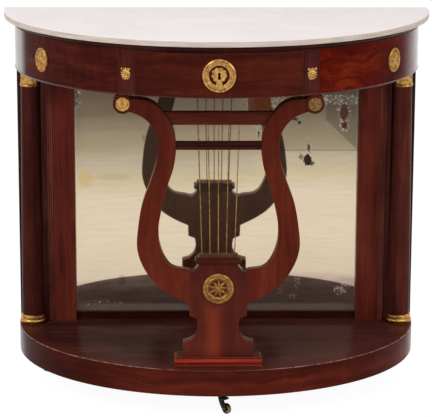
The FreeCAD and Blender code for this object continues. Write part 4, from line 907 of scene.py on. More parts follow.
    @staticmethod
    def smooth(item: bpy.types.Object, angle: float = 32.0) -> bpy.types.Object:
        """Shade smooth, sharp where faces meet at more than an angle."""
        Bench.pick(item)
        bpy.ops.object.shade_smooth_by_angle(angle=math.radians(angle))
        return item

    @staticmethod
    def carve(item: bpy.types.Object, *cutters: bpy.types.Object,
              operation: str = "DIFFERENCE") -> bpy.types.Object:
        """Cut other objects out of one, or unite them with it, and drop them."""
        for cutter in cutters:
            Bench.modify(item, "BOOLEAN", object=cutter, operation=operation, solver="EXACT")
            bpy.data.objects.remove(cutter)
        return item

    @staticmethod
    def block(name: str, low: Sequence[float], high: Sequence[float],
              soft: float = 0.0) -> bpy.types.Object:
        """Straight board between two corners, its arrises broken."""
        Bench.rest()
        middle = [(a + b) / 2.0 for a, b in zip(low, high)]
        size = [b - a for a, b in zip(low, high)]
        bpy.ops.mesh.primitive_cube_add(size=1.0, location=middle, scale=size)
        item = bpy.context.object
        item.name = name
        Bench.tidy(item)
        return Bench.soften(item, soft) if soft else item

    @staticmethod
    def rod(name: str, start: Sequence[float], end: Sequence[float], radius: float,
            segments: int = 32) -> bpy.types.Object:
        """Round rod between two points, as a tool for cuts."""
        Bench.rest()
        line = Vector(end) - Vector(start)
        bpy.ops.mesh.primitive_cylinder_add(vertices=segments, radius=radius, depth=line.length,
                                            location=(Vector(start) + Vector(end)) / 2.0)
        item = bpy.context.object
        item.name = name
        item.rotation_euler = line.to_track_quat("Z", "Y").to_euler()
        return Bench.tidy(item)

    @staticmethod
    def copy(item: bpy.types.Object, name: str, mirror: bool = False) -> bpy.types.Object:
        """Copy of an object with a mesh of its own, mirrored in the middle plane if asked."""
        Bench.pick(item)
        bpy.ops.object.duplicate(linked=False)
        made = bpy.context.object
        made.name = name
        if mirror:
            made.scale.x = -1.0
            Bench.tidy(made)
        return made

    @staticmethod
    def join(name: str, *items: bpy.types.Object) -> bpy.types.Object:
        """Make several objects one."""
        Bench.pick(*items)
        if len(items) > 1:
            bpy.ops.object.join()
        items[0].name = name
        return items[0]

    @staticmethod
    def settle(item: bpy.types.Object, spot: Sequence[float], turn: float = 0.0,
               tilt: float = math.pi / 2.0) -> bpy.types.Object:
        """Stand a flat-lying ornament up against a face.

        Args:
            item: ornament modelled around the origin, its face up and its top toward +Y.
            spot: where its centre goes.
            turn: angle about Z, in radians.
            tilt: angle about X, in radians.

        Returns:
            The ornament.
        """
        Bench.pick(item)
        item.rotation_euler = (tilt, 0.0, turn)
        item.location = spot
        bpy.ops.object.transform_apply(location=True, rotation=True, scale=True)
        return item

    @staticmethod
    def lobes(item: bpy.types.Object, count: int, reach: float, size: Ring, height: float,
              phase: float = 0.0, tip: float = 0.0, steps: tuple[int, int] = (12, 8)) -> None:
        """Add rounded lobes, such as petals or beads, in a ring around the origin.

        Args:
            item: ornament that gets them.
            count: number of lobes.
            reach: distance of their centres from the axis.
            size: half length outward, half width and half height.
            height: height of their centres.
            phase: angle of the first, in radians.
            tip: lift of the outer end, in radians.
            steps: segments and rings of a lobe.
        """
        Bench.edit(item, False)
        for number in range(count):
            angle = phase + 2.0 * math.pi * number / count
            bpy.ops.mesh.primitive_uv_sphere_add(
                segments=steps[0], ring_count=steps[1], radius=1.0, scale=size,
                location=(reach * math.cos(angle), reach * math.sin(angle), height),
                rotation=(0.0, -tip, angle))
        bpy.ops.object.mode_set(mode="OBJECT")


def dress(item: bpy.types.Object, material: bpy.types.Material, body: str, slot: str,
          *nodes: str, angle: float = 32.0) -> bpy.types.Object:
    """Give a finished piece its material and body, and hide the nodes that it stands for.

    Args:
        item: the piece.
        material: its finish.
        body: body that it moves with.
        slot: name of a material slot; not used.
        *nodes: solids that it replaces.
        angle: angle above which an edge stays sharp, in degrees.

    Returns:
        The piece.
    """
    Bench.smooth(item, angle)
    item.data.materials.clear()
    item.data.materials.append(material)
    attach(item, body)
    if nodes:
        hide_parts(*nodes)
    log.info("%-26s %6d faces on %s", item.name, len(item.data.polygons), body)
    return item


def second_finish(item: bpy.types.Object, material: bpy.types.Material,
                  test: Callable[[bpy.types.MeshPolygon], bool]) -> None:
    """Give the faces that pass a test a finish of their own."""
    item.data.materials.append(material)
    for face in item.data.polygons:
        if test(face):
            face.material_index = 1


def repaint(material: bpy.types.Material, *nodes: str) -> None:
    """Give the frame's own nodes a finish."""
    for name in nodes:
        slots = frame["nodes"][name].material_slots
        for slot in slots:
            slot.material = material
        log.info("%-26s kept as built", name)


def arc(centre: tuple[float, float], radius: float, start: float, end: float,
        steps: int) -> list[tuple[float, float]]:
    """Points of an arc in a profile, between two angles in degrees."""
    turns = [math.radians(start + (end - start) * k / steps) for k in range(steps + 1)]
    return [(centre[0] + radius * math.cos(t), centre[1] + radius * math.sin(t)) for t in turns]


def curve_through(points: Sequence[Sequence[float]], steps: int) -> list[tuple[float, ...]]:
    """Smooth line through points that lie at unequal distances.

    Args:
        points: the points; their first two values give the distances.
        steps: parts between two points.

    Returns:
        Points of a cubic line, the ends among them.
    """
    spans = [math.dist(a[:2], b[:2]) for a, b in zip(points, points[1:])]
    slopes = [[(q - p) / span for p, q in zip(a, b)]
              for a, b, span in zip(points, points[1:], spans)]
    leads = [slopes[0]]
    for k in range(1, len(spans)):
        share = spans[k - 1] / (spans[k - 1] + spans[k])
        leads.append([p + (q - p) * share for p, q in zip(slopes[k - 1], slopes[k])])
    leads.append(slopes[-1])
    made: list[tuple[float, ...]] = []
    for k, span in enumerate(spans):
        for step in range(steps):
            t = step / steps
            turn, lead, trail = t * t * (3 - 2 * t), t * (1 - t) ** 2, t * t * (t - 1)
            made.append(tuple(a + (b - a) * turn + (lead * p + trail * q) * span
                              for a, b, p, q in zip(points[k], points[k + 1], leads[k],
                                                    leads[k + 1])))
    made.append(tuple(points[-1]))
    return made


# -------------------------------------------------------------------- the table's pieces


@dataclass
class MarbleTop:
    """Marble slab with eased arrises.

    Attributes:
        upper: radius of the upper arris.
        lower: width of the lower arris.
    """

    upper: float = 0.0022
    lower: float = 0.0008

    def build(self, palette: Palette) -> None:
        """Model and dress the slab."""
        low, high = PLAN.z_marble, PLAN.z_top
        profile = [(-self.lower, low), (0.0, low + self.lower)]
        profile += arc((-self.upper, high - self.upper), self.upper, 0.0, 90.0, 5)
        slab = Bench.bowed("marble_slab", profile, PLAN.marble_half, PLAN.marble_bow, 320, False)
        dress(slab, palette.marble, "table", "marble", "marble_top")


@dataclass
class Frieze:
    """Moulding, curved walls and stiles above the opening.

    Attributes:
        wall: thickness of the curved wall.
        bead: height of the bead at the lower edge.
        bead_lip: projection of that bead.
        ovolo: depth of the moulding's ovolo.
        lip: projection of the moulding.
        frame: width of the moulded frame.
        opening: half width of the drawer opening.
        stile: width of a stile.
        stile_back: Y of the stiles' rear faces.
    """

    wall: float = 0.024
    bead: float = 0.0035
    bead_lip: float = 0.0012
    ovolo: float = 0.0082
    lip: float = 0.0085
    frame: float = 0.045
    opening: float = 0.1815
    stile: float = 0.034
    stile_back: float = -0.108

    def edge(self, inside: float) -> list[tuple[float, float]]:
        """Profile of the beaded wall from its inner foot to its inner top."""
        low, high = PLAN.z_frieze, PLAN.z_frame
        round_bead = arc((0.0, low + self.bead / 2), self.bead / 2, -80.0, 80.0, 6)
        scaled = [(lip * 2.0 * self.bead_lip / self.bead, z) for lip, z in round_bead]
        return [(-inside, low), *scaled, (0.0, low + self.bead + 0.0002), (0.0, high - 0.0004),
                (-0.0004, high), (-inside, high)]

    def build(self, palette: Palette) -> None:
        """Model and dress the frieze."""
        outside = self.opening + self.stile
        wall = Bench.bowed("frieze_wall_right", self.edge(self.wall))
        left = Bench.copy(wall, "frieze_wall_left")
        Bench.between(wall, outside, 1.0)
        Bench.between(left, -1.0, -outside)
        dress(wall, palette.frieze_right, "table", "frieze_veneer", "frieze_panel_right")
        dress(left, palette.frieze, "table", "frieze_veneer", "frieze_panel_left")
        walls = [wall, left]
        for side, word in SIDES:
            stile = Bench.bowed(f"stile_{word}", self.edge(0.12))
            low, high = sorted((side * self.opening, side * outside))
            Bench.between(stile, low, high)
            Bench.slice(stile, (0.0, self.stile_back, 0.0), (0.0, 1.0, 0.0))
            Bench.soften(stile, 0.0004, 1)
            dress(stile, palette.stile, "table", "frieze_veneer", f"drawer_stile_{word}")
            walls.append(stile)
        crown = PLAN.z_frieze + self.bead
        for item in walls:
            second_finish(item, palette.bead, lambda face: face.center.z < crown
                          and abs(face.normal.z) < 0.98)
        self.build_moulding(palette)

    def build_moulding(self, palette: Palette) -> None:
        """Moulded frame: a bead below a tall ovolo."""
        low, high = PLAN.z_frame, PLAN.z_marble
        inside = -self.frame
        profile = [(inside, low), (0.0002, low)]
        profile += arc((0.0002, low + 0.0016), 0.0016, -85.0, 85.0, 8)
        foot, crown = low + 0.0036, high - 0.0014
        turns = [math.radians(-90.0 + 90.0 * step / 10.0) for step in range(11)]
        profile += [(0.0, foot - 0.0002), (self.lip - self.ovolo - 0.0002, foot)]
        profile += [(self.lip - self.ovolo + self.ovolo * math.cos(turn),
                     crown + (crown - foot) * math.sin(turn)) for turn in turns]
        profile += [(self.lip - 0.0002, high - 0.0006), (self.lip - 0.0010, high), (inside, high)]
        ring = Bench.bowed("moulded_frame", profile)
        mortise = Bench.block("mortise_tool", (-0.012, -0.1705, low - 0.001),
                              (0.012, -0.1565, low + 0.009))
        Bench.carve(ring, mortise)
        dress(ring, palette.moulding, "table", "moulding_wood", "top_moulding")


@dataclass
class Drawer:
    """Bowed drawer front with its cock bead; the box behind it stays as built.

    Attributes:
        half: half width of the front.
        wall: thickness of the front.
        low: height of the front's lower edge.
        high: height of the front's upper edge.
        bead: width of the cock bead.
        bead_lip: projection of the cock bead.
        swell: projection of the bead's round as a share of its half width.
        key: radius of the keyhole.
        key_z: height of the keyhole.
    """

    half: float = 0.1805
    wall: float = 0.022
    low: float = 0.720
    high: float = 0.817
    bead: float = 0.0022
    bead_lip: float = 0.0012
    swell: float = 1.09
    key: float = 0.0032
    key_z: float = 0.769

    def build(self, palette: Palette) -> None:
        """Model and dress the drawer front and its bead."""
        profile = [(-self.wall, self.low), (0.0, self.low), (0.0, self.high),
                   (-self.wall, self.high)]
        front = Bench.between(Bench.bowed("drawer_face", profile), -self.half, self.half)
        hole = Bench.rod("key_tool", (0.0, -0.25, self.key_z), (0.0, -0.15, self.key_z), self.key)
        Bench.carve(front, hole)
        spot = (0.0, PLAN.face_y(0.0), PLAN.z_frieze + 0.050)
        Bench.carve(front, *[Bench.settle(tool, spot) for tool in keyhole_tools("front", 0.0)])
        dress(front, palette.drawer, "drawer", "drawer_veneer", "drawer_front")
        parts = []
        for level in (self.low + self.bead / 2.0, self.high - self.bead / 2.0):
            rounded = arc((0.0, level), self.bead / 2.0, -80.0, 80.0, 6)
            rounded = [(lip * self.swell, z) for lip, z in rounded]
            strip = Bench.bowed("bead_strip", [(-0.0004, level - self.bead / 2.0), *rounded,
                                               (-0.0004, level + self.bead / 2.0)])
            parts.append(Bench.between(strip, -self.half, self.half))
        for side, _ in SIDES:
            middle = side * (self.half - self.bead / 2.0)
            profile = [(-0.0004, self.low), (self.bead_lip, self.low), (self.bead_lip, self.high),
                       (-0.0004, self.high)]
            post = Bench.bowed("bead_post", profile)
            Bench.between(post, middle - self.bead / 2.0, middle + self.bead / 2.0)
            parts.append(Bench.soften(post, 0.0004))
        bead = Bench.join("cock_bead", *parts)
        dress(bead, palette.bead, "drawer", "drawer_veneer", "drawer_beads")
        repaint(palette.carcass, "drawer_side_left", "drawer_side_right", "drawer_back",
                "drawer_bottom")
        repaint(palette.steel, "lock_case", "lock_bolt")


@dataclass
class Columns:
    """Two tapered columns with gilt capitals and gilt base rings.

    Attributes:
        x: distance of the axes from the middle plane.
        y: Y of the axes.
        foot: radius of the shaft above its ring.
        top: radius of the shaft below its capital.
        ring: height of the base ring.
        capital: height of the capital.
    """

    x: float = 0.425
    y: float = 0.175
    foot: float = 0.0255
    top: float = 0.020
    ring: float = 0.022
    capital: float = 0.046

    def build(self, palette: Palette) -> None:
        """Model and dress both columns."""
        for side, word in SIDES:
            axis = (side * self.x, self.y)
            shaft = Bench.turned(f"shaft_{word}", self.shaft(), axis, 64)
            # The left column takes the darker copy, which carries painted shade.
            finish = palette.column if side > 0 else palette.column_shaded
            dress(shaft, finish, "table", "column_veneer", f"column_shaft_{word}")
            foot = Bench.turned(f"base_ring_{word}", self.foot_ring(), axis, 64)
            dress(foot, palette.gilt_smooth, "table", "gilt_bronze", f"column_base_{word}")
            head = Bench.turned(f"capital_{word}", self.head(), axis, 64)
            dress(head, palette.gilt_smooth, "table", "gilt_bronze", f"column_capital_{word}")

    def shaft(self) -> list[tuple[float, float]]:
        """Points of the shaft, with a slight swell."""
        low = PLAN.z_base + self.ring - 0.002
        high = PLAN.z_frieze - self.capital + 0.002
        parts = [step / 12.0 for step in range(13)]
        return [(self.foot + (self.top - self.foot) * part ** 1.25, low + (high - low) * part)
                for part in parts]

    def foot_ring(self) -> list[tuple[float, float]]:
        """Points of the base: a torus under a thin collar."""
        low = PLAN.z_base
        points = [(0.0262, low), (0.0280, low + 0.0003)]
        points += arc((0.0242, low + 0.0068), 0.0063, -70.0, 62.0, 10)
        points += [(0.0262, low + 0.0130), (0.0262, low + 0.0142), (0.0278, low + 0.0148)]
        points += arc((0.0264, low + 0.0178), 0.0022, -55.0, 75.0, 6)
        return [*points, (0.0258, low + 0.0212), (0.0240, low + 0.0220)]

    def head(self) -> list[tuple[float, float]]:
        """Points of the capital: a ring below a smooth neck that flares under the frieze."""
        low, high = PLAN.z_frieze - self.capital, PLAN.z_frieze
        points = [(0.0195, low), (0.0212, low + 0.0003)]
        points += arc((0.0201, low + 0.0026), 0.0023, -60.0, 70.0, 6)
        points += [(0.0203, low + 0.0052), (0.0212, low + 0.0060), (0.0212, low + 0.0072),
                   (0.0203, low + 0.0080), (0.0202, low + 0.020), (0.0204, low + 0.030)]
        points += [(0.0208, low + 0.036), (0.0216, low + 0.041), (0.0222, high - 0.0022)]
        return [*points, (0.0226, high - 0.0016), (0.0226, high - 0.0002), (0.0220, high)]


@dataclass
class BackFrame:
    """Rear board, posts, rails, reeded strips and the mirror, all as built."""

    def build(self, palette: Palette) -> None:
        """Dress the frame of the back."""
        repaint(palette.backboard, "back_board")
        repaint(palette.panel, "back_panel_left", "back_panel_right", "mirror_top_rail")
        # The lower rail takes the darker wood, which carries painted shade.
        repaint(palette.rail, "mirror_bottom_rail")
        repaint(palette.reed, "reeded_strips")
        repaint(palette.mirror, "mirror_glass")
        repaint(palette.carcass, "top_frame_rails", "frieze_rear_rail", "drawer_bearers")


@dataclass
class Plinth:
    """Two dark boards on a curved, veneered wall.

    Attributes:
        joint: Y of the joint between the boards.
        arris: radius of the worn upper edge.
        wall: thickness of the curved wall.
    """

    joint: float = -0.053
    arris: float = 0.0016
    wall: float = 0.022

    def build(self, palette: Palette) -> None:
        """Model and dress the plinth."""
        low, high = PLAN.z_boards, PLAN.z_base
        profile = [(0.0, low)]
        profile += arc((-self.arris, high - self.arris), self.arris, 0.0, 90.0, 5)
        rear = Bench.bowed("plinth_rear_board", profile, loop=False)
        fore = Bench.copy(rear, "plinth_front_board")
        Bench.slice(fore, (0.0, self.joint, 0.0), (0.0, 1.0, 0.0))
        Bench.slice(rear, (0.0, self.joint, 0.0), (0.0, -1.0, 0.0))
        for board, node in ((fore, "base_board_front"), (rear, "base_board_rear")):
            Bench.soften(board, 0.0005, 1, 60.0)
            dress(board, palette.plinth_top, "table", "plinth_top", node)
            second_finish(board, palette.plinth, lambda face: abs(face.normal.z) < 0.3)
        foot = PLAN.z_plinth
        profile = [(-self.wall, foot), (-0.0008, foot), (0.0, foot + 0.0008), (0.0, low),
                   (-self.wall, low)]
        wall = Bench.bowed("plinth_wall", profile)
        dress(wall, palette.plinth, "table", "plinth_veneer", "plinth_apron")
        repaint(palette.carcass, "plinth_rear_rail", "plinth_blocks")


@dataclass
class Lyre:
    """Lyre: arms, block, shelf, bars, foot plate and strings.

    Attributes:
        arm: centre line of the right arm as X, Z and width, from the scroll down.
        neck: half width and height of the block's waisted neck.
        scroll: radius of the scroll ends.
        proud: projection of the scroll's face.
        foot: half width, half depth and height of the foot plate.
        shelf: height of the shelf's lower edge.
        upper: lower and upper edge of the upper bar.
        lower: lower and upper edge of the lower bar.
        reed: radius of the lower bar's reeds.
        strings: lower and upper end of the strings.
        spread: distance between strings at those ends.
        wire: radius of a string.
        ferrule: radius of the ferrules at its ends.
        string_y: Y of the strings and the upper bar.
    """

    arm: tuple[Ring, ...] = (
        (0.206, 0.6985, 0.024), (0.1505, 0.6835, 0.039), (0.1295, 0.662, 0.0375),
        (0.1155, 0.635, 0.0385), (0.1115, 0.600, 0.039), (0.115, 0.567, 0.0385),
        (0.129, 0.521, 0.038), (0.1445, 0.469, 0.043), (0.152, 0.424, 0.044),
        (0.1515, 0.377, 0.050), (0.1195, 0.3155, 0.0515), (0.062, 0.2875, 0.0735))
    neck: tuple[tuple[float, float], ...] = (
        (0.078, 0.1613), (0.059, 0.168), (0.049, 0.1805), (0.0448, 0.197), (0.047, 0.218))
    scroll: float = 0.021
    proud: float = 0.003
    foot: Ring = (0.097, 0.031, 0.0175)
    shelf: float = 0.3375
    upper: tuple[float, float] = (0.651, 0.6785)
    lower: tuple[float, float] = (0.5965, 0.615)
    reed: float = 0.00463
    strings: tuple[float, float] = (0.3586, 0.6509)
    spread: tuple[float, float] = (0.0178, 0.0223)
    wire: float = 0.0011
    ferrule: float = 0.0022
    string_y: float = -0.130

    @property
    def middle(self) -> float:
        """Y of the lyre's middle."""
        return (PLAN.lyre_face + PLAN.lyre_back) / 2.0

    @property
    def deep(self) -> float:
        """Half thickness of the lyre."""
        return (PLAN.lyre_back - PLAN.lyre_face) / 2.0

    def build(self, palette: Palette) -> None:
        """Model and dress the lyre."""
        right = self.build_arm("lyre_limb_right")
        left = Bench.copy(right, "lyre_limb_left", mirror=True)
        pieces = ((right, "lyre_arm_right", palette.lyre), (left, "lyre_arm_left", palette.lyre),
                  (self.build_block(), "lyre_body", palette.lyre_block))
        for item, node, finish in pieces:
            dress(item, finish, "table", "lyre_veneer", node)
            # Rear faces take the lighter finish, which carries painted light from the mirror.
            second_finish(item, palette.lyre_back, lambda face: face.normal.y > 0.9)
        foot = self.build_foot()
        dress(foot, palette.foot, "table", "plinth_veneer", "lyre_foot_plate")
        second_finish(foot, palette.bar, lambda face: face.normal.z > 0.9)
        dress(self.build_shelf(), palette.bar, "table", "lyre_veneer", "lyre_string_shelf")
        dress(self.build_upper_bar(), palette.bar, "table", "lyre_veneer", "lyre_upper_bar")
        dress(self.build_lower_bar(), palette.reeded_bar, "table", "lyre_veneer", "lyre_lower_bar")
        dress(self.build_strings(), palette.string, "table", "string_brass", "lyre_strings")

    def build_arm(self, name: str) -> bpy.types.Object:
        """Right arm: one section drawn along the centre line, and the round scroll end."""
        line = curve_through(self.arm[::-1], 7)
        turns = []
        for number in range(len(line)):
            before, after = line[max(number - 1, 0)], line[min(number + 1, len(line) - 1)]
            turns.append(math.atan2(after[0] - before[0], after[1] - before[1]))
        for number in range(7):
            turns[number] = math.pi / 2.0 + (turns[7] - math.pi / 2.0) * number / 7.0
        line.insert(0, (line[0][0] - 0.006, *line[0][1:]))
        turns.insert(0, math.pi / 2.0)
        Bench.rest()
        x, z, band = line[0]
        bpy.ops.mesh.primitive_plane_add(size=1.0, location=(x, self.middle, z),
                                         rotation=(0.0, turns[0], 0.0))
        item = bpy.context.object
        item.name = name
        item.scale = (band, 2.0 * self.deep, 1.0)
        bpy.ops.object.transform_apply(location=False, rotation=True, scale=True)
        bpy.ops.object.mode_set(mode="EDIT")
        bpy.ops.mesh.select_all(action="SELECT")
        for number in range(1, len(line)):
            step = [line[number][k] - line[number - 1][k] for k in range(2)]
            centre = (line[number][0], self.middle, line[number][1])
            bpy.ops.mesh.extrude_region_move(
                TRANSFORM_OT_translate={"value": (step[0], 0.0, step[1])})
            bpy.ops.transform.rotate(value=-(turns[number] - turns[number - 1]), orient_axis="Y",
                                     center_override=centre)
            grow = line[number][2] / line[number - 1][2]
            bpy.ops.transform.resize(value=(grow, 1.0, grow), center_override=centre)
        Bench.tidy(item)
        Bench.soften(item, 0.0009, 2, 50.0)
        Bench.slice(item, (self.arm[-1][0] - 0.0007, 0.0, 0.0), (-1.0, 0.0, 0.0))
        x, z, _ = self.arm[0]
        depth = 2.0 * self.deep + self.proud
        points = [(self.scroll - 0.0008, 0.0), (self.scroll, 0.0008),
                  (self.scroll, depth - 0.0012), (self.scroll - 0.0012, depth),
                  (0.0172, depth), (0.0164, depth - 0.0008)]
        knob = Bench.turned("scroll_end", points, segments=64)
        Bench.settle(knob, (x, PLAN.lyre_back, z))
        Bench.carve(item, knob, operation="UNION")
        Bench.slice(item, (0.0, 0.0, PLAN.z_frieze), (0.0, 0.0, 1.0))
        return item

    def build_block(self) -> bpy.types.Object:
        """Block with its cove, ledge and waisted neck on a square foot."""
        outline = [(0.078, 0.1295)]
        outline += curve_through(self.neck, 6)
        outline += [(0.0620, 0.224), (0.0627, 0.2248), (0.064, 0.2492), (0.0635, 0.250),
                    (0.062, 0.2502), (0.062, 0.3245), (0.0545, 0.3245), (0.0504, 0.3276),
                    (0.0471, 0.3309), (0.0447, 0.3342), (0.0433, 0.3375)]
        rings = [(half, self.deep, z) for half, z in outline]
        item = Bench.stack("lyre_block", rings, (0.0, self.middle))
        return Bench.soften(item, 0.0006, 2, 40.0)

    def build_foot(self) -> bpy.types.Object:
        """Moulded foot plate with a rounded upper edge and a fillet."""
        half, deep, tall = self.foot
        low, high = PLAN.z_base, PLAN.z_base + tall
        centre = (0.0, -0.127)
        rings = [(half, deep, low), (half, deep, low + 0.0028),
                 (half - 0.0012, deep - 0.0012, low + 0.0032),
                 (half - 0.0012, deep - 0.0012, low + 0.0038)]
        rings += [(half + lip, deep + lip, z)
                  for lip, z in arc((-0.0062, low + 0.0097), 0.0062, -65.0, 80.0, 8)]
        rings += [(half - 0.0066, deep - 0.0066, high - 0.0010),
                  (half - 0.0070, deep - 0.0070, high)]
        return Bench.stack("lyre_foot", rings, centre)

    def build_shelf(self) -> bpy.types.Object:
        """Moulded shelf that holds the strings."""
        lips = [(0.0433, 0.0, 0.0), (0.0433, 0.0, 0.0048), (0.0470, 0.0008, 0.0052),
                (0.0478, 0.0022, 0.0062), (0.0488, 0.0026, 0.0072), (0.0490, 0.0026, 0.0080),
                (0.0500, 0.0034, 0.0086), (0.0505, 0.0040, 0.0098), (0.0505, 0.0040, 0.0128),
                (0.0500, 0.0036, 0.0138), (0.0482, 0.0028, 0.0148), (0.0445, 0.0018, 0.0150),
                (0.0432, 0.0015, 0.0154), (0.0430, 0.0015, 0.0204), (0.0424, 0.0009, 0.0210)]
        rings = [(half, self.deep + lip, self.shelf + rise) for half, lip, rise in lips]
        return Bench.stack("string_rest", rings, (0.0, self.middle))

    def build_upper_bar(self) -> bpy.types.Object:
        """Flat bar between the arms, its ends cut to their curve."""
        low, high = self.upper
        rings = [(0.1018, 0.0094, low), (0.1022, 0.010, low + 0.0006)]
        rings += [(0.1052, 0.010, 0.658), (0.1088, 0.010, 0.664), (0.1138, 0.010, 0.6715),
                  (0.1180, 0.010, high - 0.0006), (0.1185, 0.0094, high)]
        return Bench.stack("upper_bar", rings, (0.0, self.string_y))

    def build_lower_bar(self) -> bpy.types.Object:
        """Turned bar in front of the strings: two reeds on a flat strip."""
        low, high = self.lower
        half, reed_y = 0.0924, -0.142
        strip = Bench.block("bar_strip", (-half, reed_y, low), (half, -0.134, high), 0.0006)
        reeds = [strip]
        for level in (low + self.reed, high - self.reed):
            points = [(0.0043, -half), (self.reed, -half + 0.0004), (self.reed, half - 0.0004),
                      (0.0043, half)]
            reed = Bench.turned("bar_reed", points, segments=40)
            reed.rotation_euler = (0.0, math.pi / 2.0, 0.0)
            reed.location = (0.0, reed_y, level)
            Bench.tidy(reed)
            reeds.append(reed)
        return Bench.join("lower_bar", *reeds)

    def build_strings(self) -> bpy.types.Object:
        """Five wires with small ferrules, spread from the shelf to the upper bar."""
        low, high = self.strings
        items = []
        for order in range(-2, 3):
            foot, head = order * self.spread[0], order * self.spread[1]
            length = math.hypot(high - low, head - foot)
            points = [(self.ferrule, 0.0), (self.ferrule, 0.003), (self.wire, 0.0042),
                      (self.wire, length - 0.0045), (0.0019, length - 0.0035),
                      (0.0019, length)]
            string = Bench.turned("string", points, segments=16)
            string.rotation_euler = (0.0, math.atan2(head - foot, high - low), 0.0)
            string.location = (foot, self.string_y, low)
            items.append(Bench.tidy(string))
        return Bench.join("strings", *items)


@dataclass
class Ornaments:
    """Gilt mounts of the frieze and the lyre, and the wooden rims of the scrolls.

    Attributes:
        level: height of the frieze's ornaments.
        patera_x: distance of the paterae from the middle plane.
        patera_oval: width of a patera as a share of its height.
        mask_x: distance of the lion masks from the middle plane.
        mask_z: height of the lion masks.
        medallion_z: height of the medallion.
    """

    level: float = 0.769
    patera_x: float = 0.385
    patera_oval: float = 0.8
    mask_x: float = 0.1985
    mask_z: float = 0.7655
    medallion_z: float = 0.287

    def build(self, palette: Palette) -> None:
        """Model and dress every mount."""
        face = PLAN.face_y(0.0)
        plate = Bench.settle(self.build_escutcheon(), (0.0, face, self.level))
        dress(plate, palette.gilt, "drawer", "gilt_bronze", "escutcheon")
        disc = self.build_patera("patera")
        mask = self.build_mask("mask")
        for side, word in SIDES:
            turn = side * PLAN.face_turn(self.patera_x)
            item = Bench.copy(disc, f"patera_{word}")
            spot = (side * self.patera_x, PLAN.face_y(self.patera_x), self.level)
            Bench.settle(item, spot, turn)
            dress(item, palette.gilt, "table", "gilt_bronze", f"frieze_patera_{word}")
            turn = side * PLAN.face_turn(self.mask_x)
            item = Bench.copy(mask, f"animal_mask_{word}")
            Bench.settle(item, (side * self.mask_x, PLAN.face_y(self.mask_x), self.mask_z), turn)
            dress(item, palette.gilt, "table", "gilt_bronze", f"lion_mask_{word}", angle=60.0)
        bpy.data.objects.remove(disc)
        bpy.data.objects.remove(mask)
        badge = Bench.settle(self.build_medallion(), (0.0, PLAN.lyre_face, self.medallion_z))
        dress(badge, palette.gilt_dull, "table", "gilt_bronze", "lyre_medallion")
        lyre = Lyre()
        x, z, _ = lyre.arm[0]
        roundels = []
        for side, _ in SIDES:
            button = self.build_roundel(f"roundel_{len(roundels)}")
            roundels.append(Bench.settle(button, (side * x, PLAN.lyre_face - lyre.proud, z)))
        pair = Bench.join("roundels", *roundels)
        dress(pair, palette.gilt, "table", "gilt_bronze", "lyre_roundels")
        second_finish(pair, palette.copper, lambda face: face.center.x > 0.0)

    def build_escutcheon(self) -> bpy.types.Object:
        """Moulded ring around a scalloped keyhole plate on a flared foot."""
        back = -0.0013
        profile = [(0.0360, back), (0.0360, 0.0012)]
        profile += arc((0.0352, 0.0014), 0.0008, 0.0, 120.0, 4)
        profile += arc((0.0326, 0.0014), 0.0016, 40.0, 130.0, 5)
        profile += [(0.0312, 0.0018), (0.0308, 0.0014), (0.0303, 0.0014)]
        profile += arc((0.0284, 0.0010), 0.0019, 60.0, 140.0, 5)
        profile += [(0.0266, 0.0016), (0.0262, 0.0012), (0.0250, 0.0014), (0.0238, 0.0012),
                    (0.0222, 0.0004), (0.0220, back)]
        ring = Bench.turned("escutcheon_ring", profile + profile[:1], loop=True)
        rise = 0.0015
        plate = Bench.turned("escutcheon_plate", [
            (0.0160, back), (0.0160, 0.0010), (0.0152, 0.0018), (0.0128, 0.0021),
            (0.0116, 0.0014), (0.0070, 0.0014)], (0.0, rise), 72)

        def scallop(place: Vector) -> None:
            """Wave the rim of the plate."""
            x, y = place.x, place.y - rise
            if math.hypot(x, y) > 0.0148:
                wave = 1.0 + 0.055 * math.cos(9.0 * math.atan2(y, x) + math.pi / 2.0)
                place.x, place.y = x * wave, y * wave + rise

        def flare(place: Vector) -> None:
            """Narrow the upper end of the foot."""
            if place.y > -0.0160:
                place.x *= 0.5

        Bench.reshape(plate, scallop)
        rings = [(0.0088, 0.0095, back), (0.0088, 0.0095, 0.0012), (0.0082, 0.0089, 0.0018)]
        foot = Bench.stack("escutcheon_foot", rings, (0.0, -0.0160))
        Bench.reshape(foot, flare)
        Bench.carve(plate, foot, operation="UNION")
        Bench.carve(plate, *keyhole_tools("plate", 0.0036))
        return Bench.join("escutcheon_mount", ring, plate)

    def build_patera(self, name: str) -> bpy.types.Object:
        """Upright oval boss with a beaded rim, a ring of petals and a button."""
        back = -0.0008
        profile = [(0.0270, back), (0.0270, 0.0010)]
        profile += arc((0.0262, 0.0012), 0.0008, 0.0, 110.0, 4)
        profile += arc((0.0246, 0.0020), 0.0018, 40.0, 150.0, 6)
        profile += [(0.0226, 0.0016), (0.0218, 0.0010), (0.0196, 0.0010)]
        profile += [(0.0150, 0.0012), (0.0100, 0.0018), (0.0075, 0.0020)]
        profile += arc((0.0020, 0.0016), 0.0036, 40.0, 88.0, 4)
        disc = Bench.turned(name, profile)
        Bench.lobes(disc, 16, 0.0145, (0.0066, 0.0024, 0.0013), 0.0013, steps=(10, 6))
        Bench.lobes(disc, 36, 0.0206, (0.0011, 0.0011, 0.0011), 0.0013, steps=(8, 6))
        Bench.lobes(disc, 8, 0.0070, (0.0036, 0.0022, 0.0012), 0.0023, 0.2, steps=(10, 6))
        disc.scale.x = self.patera_oval
        return Bench.tidy(disc)

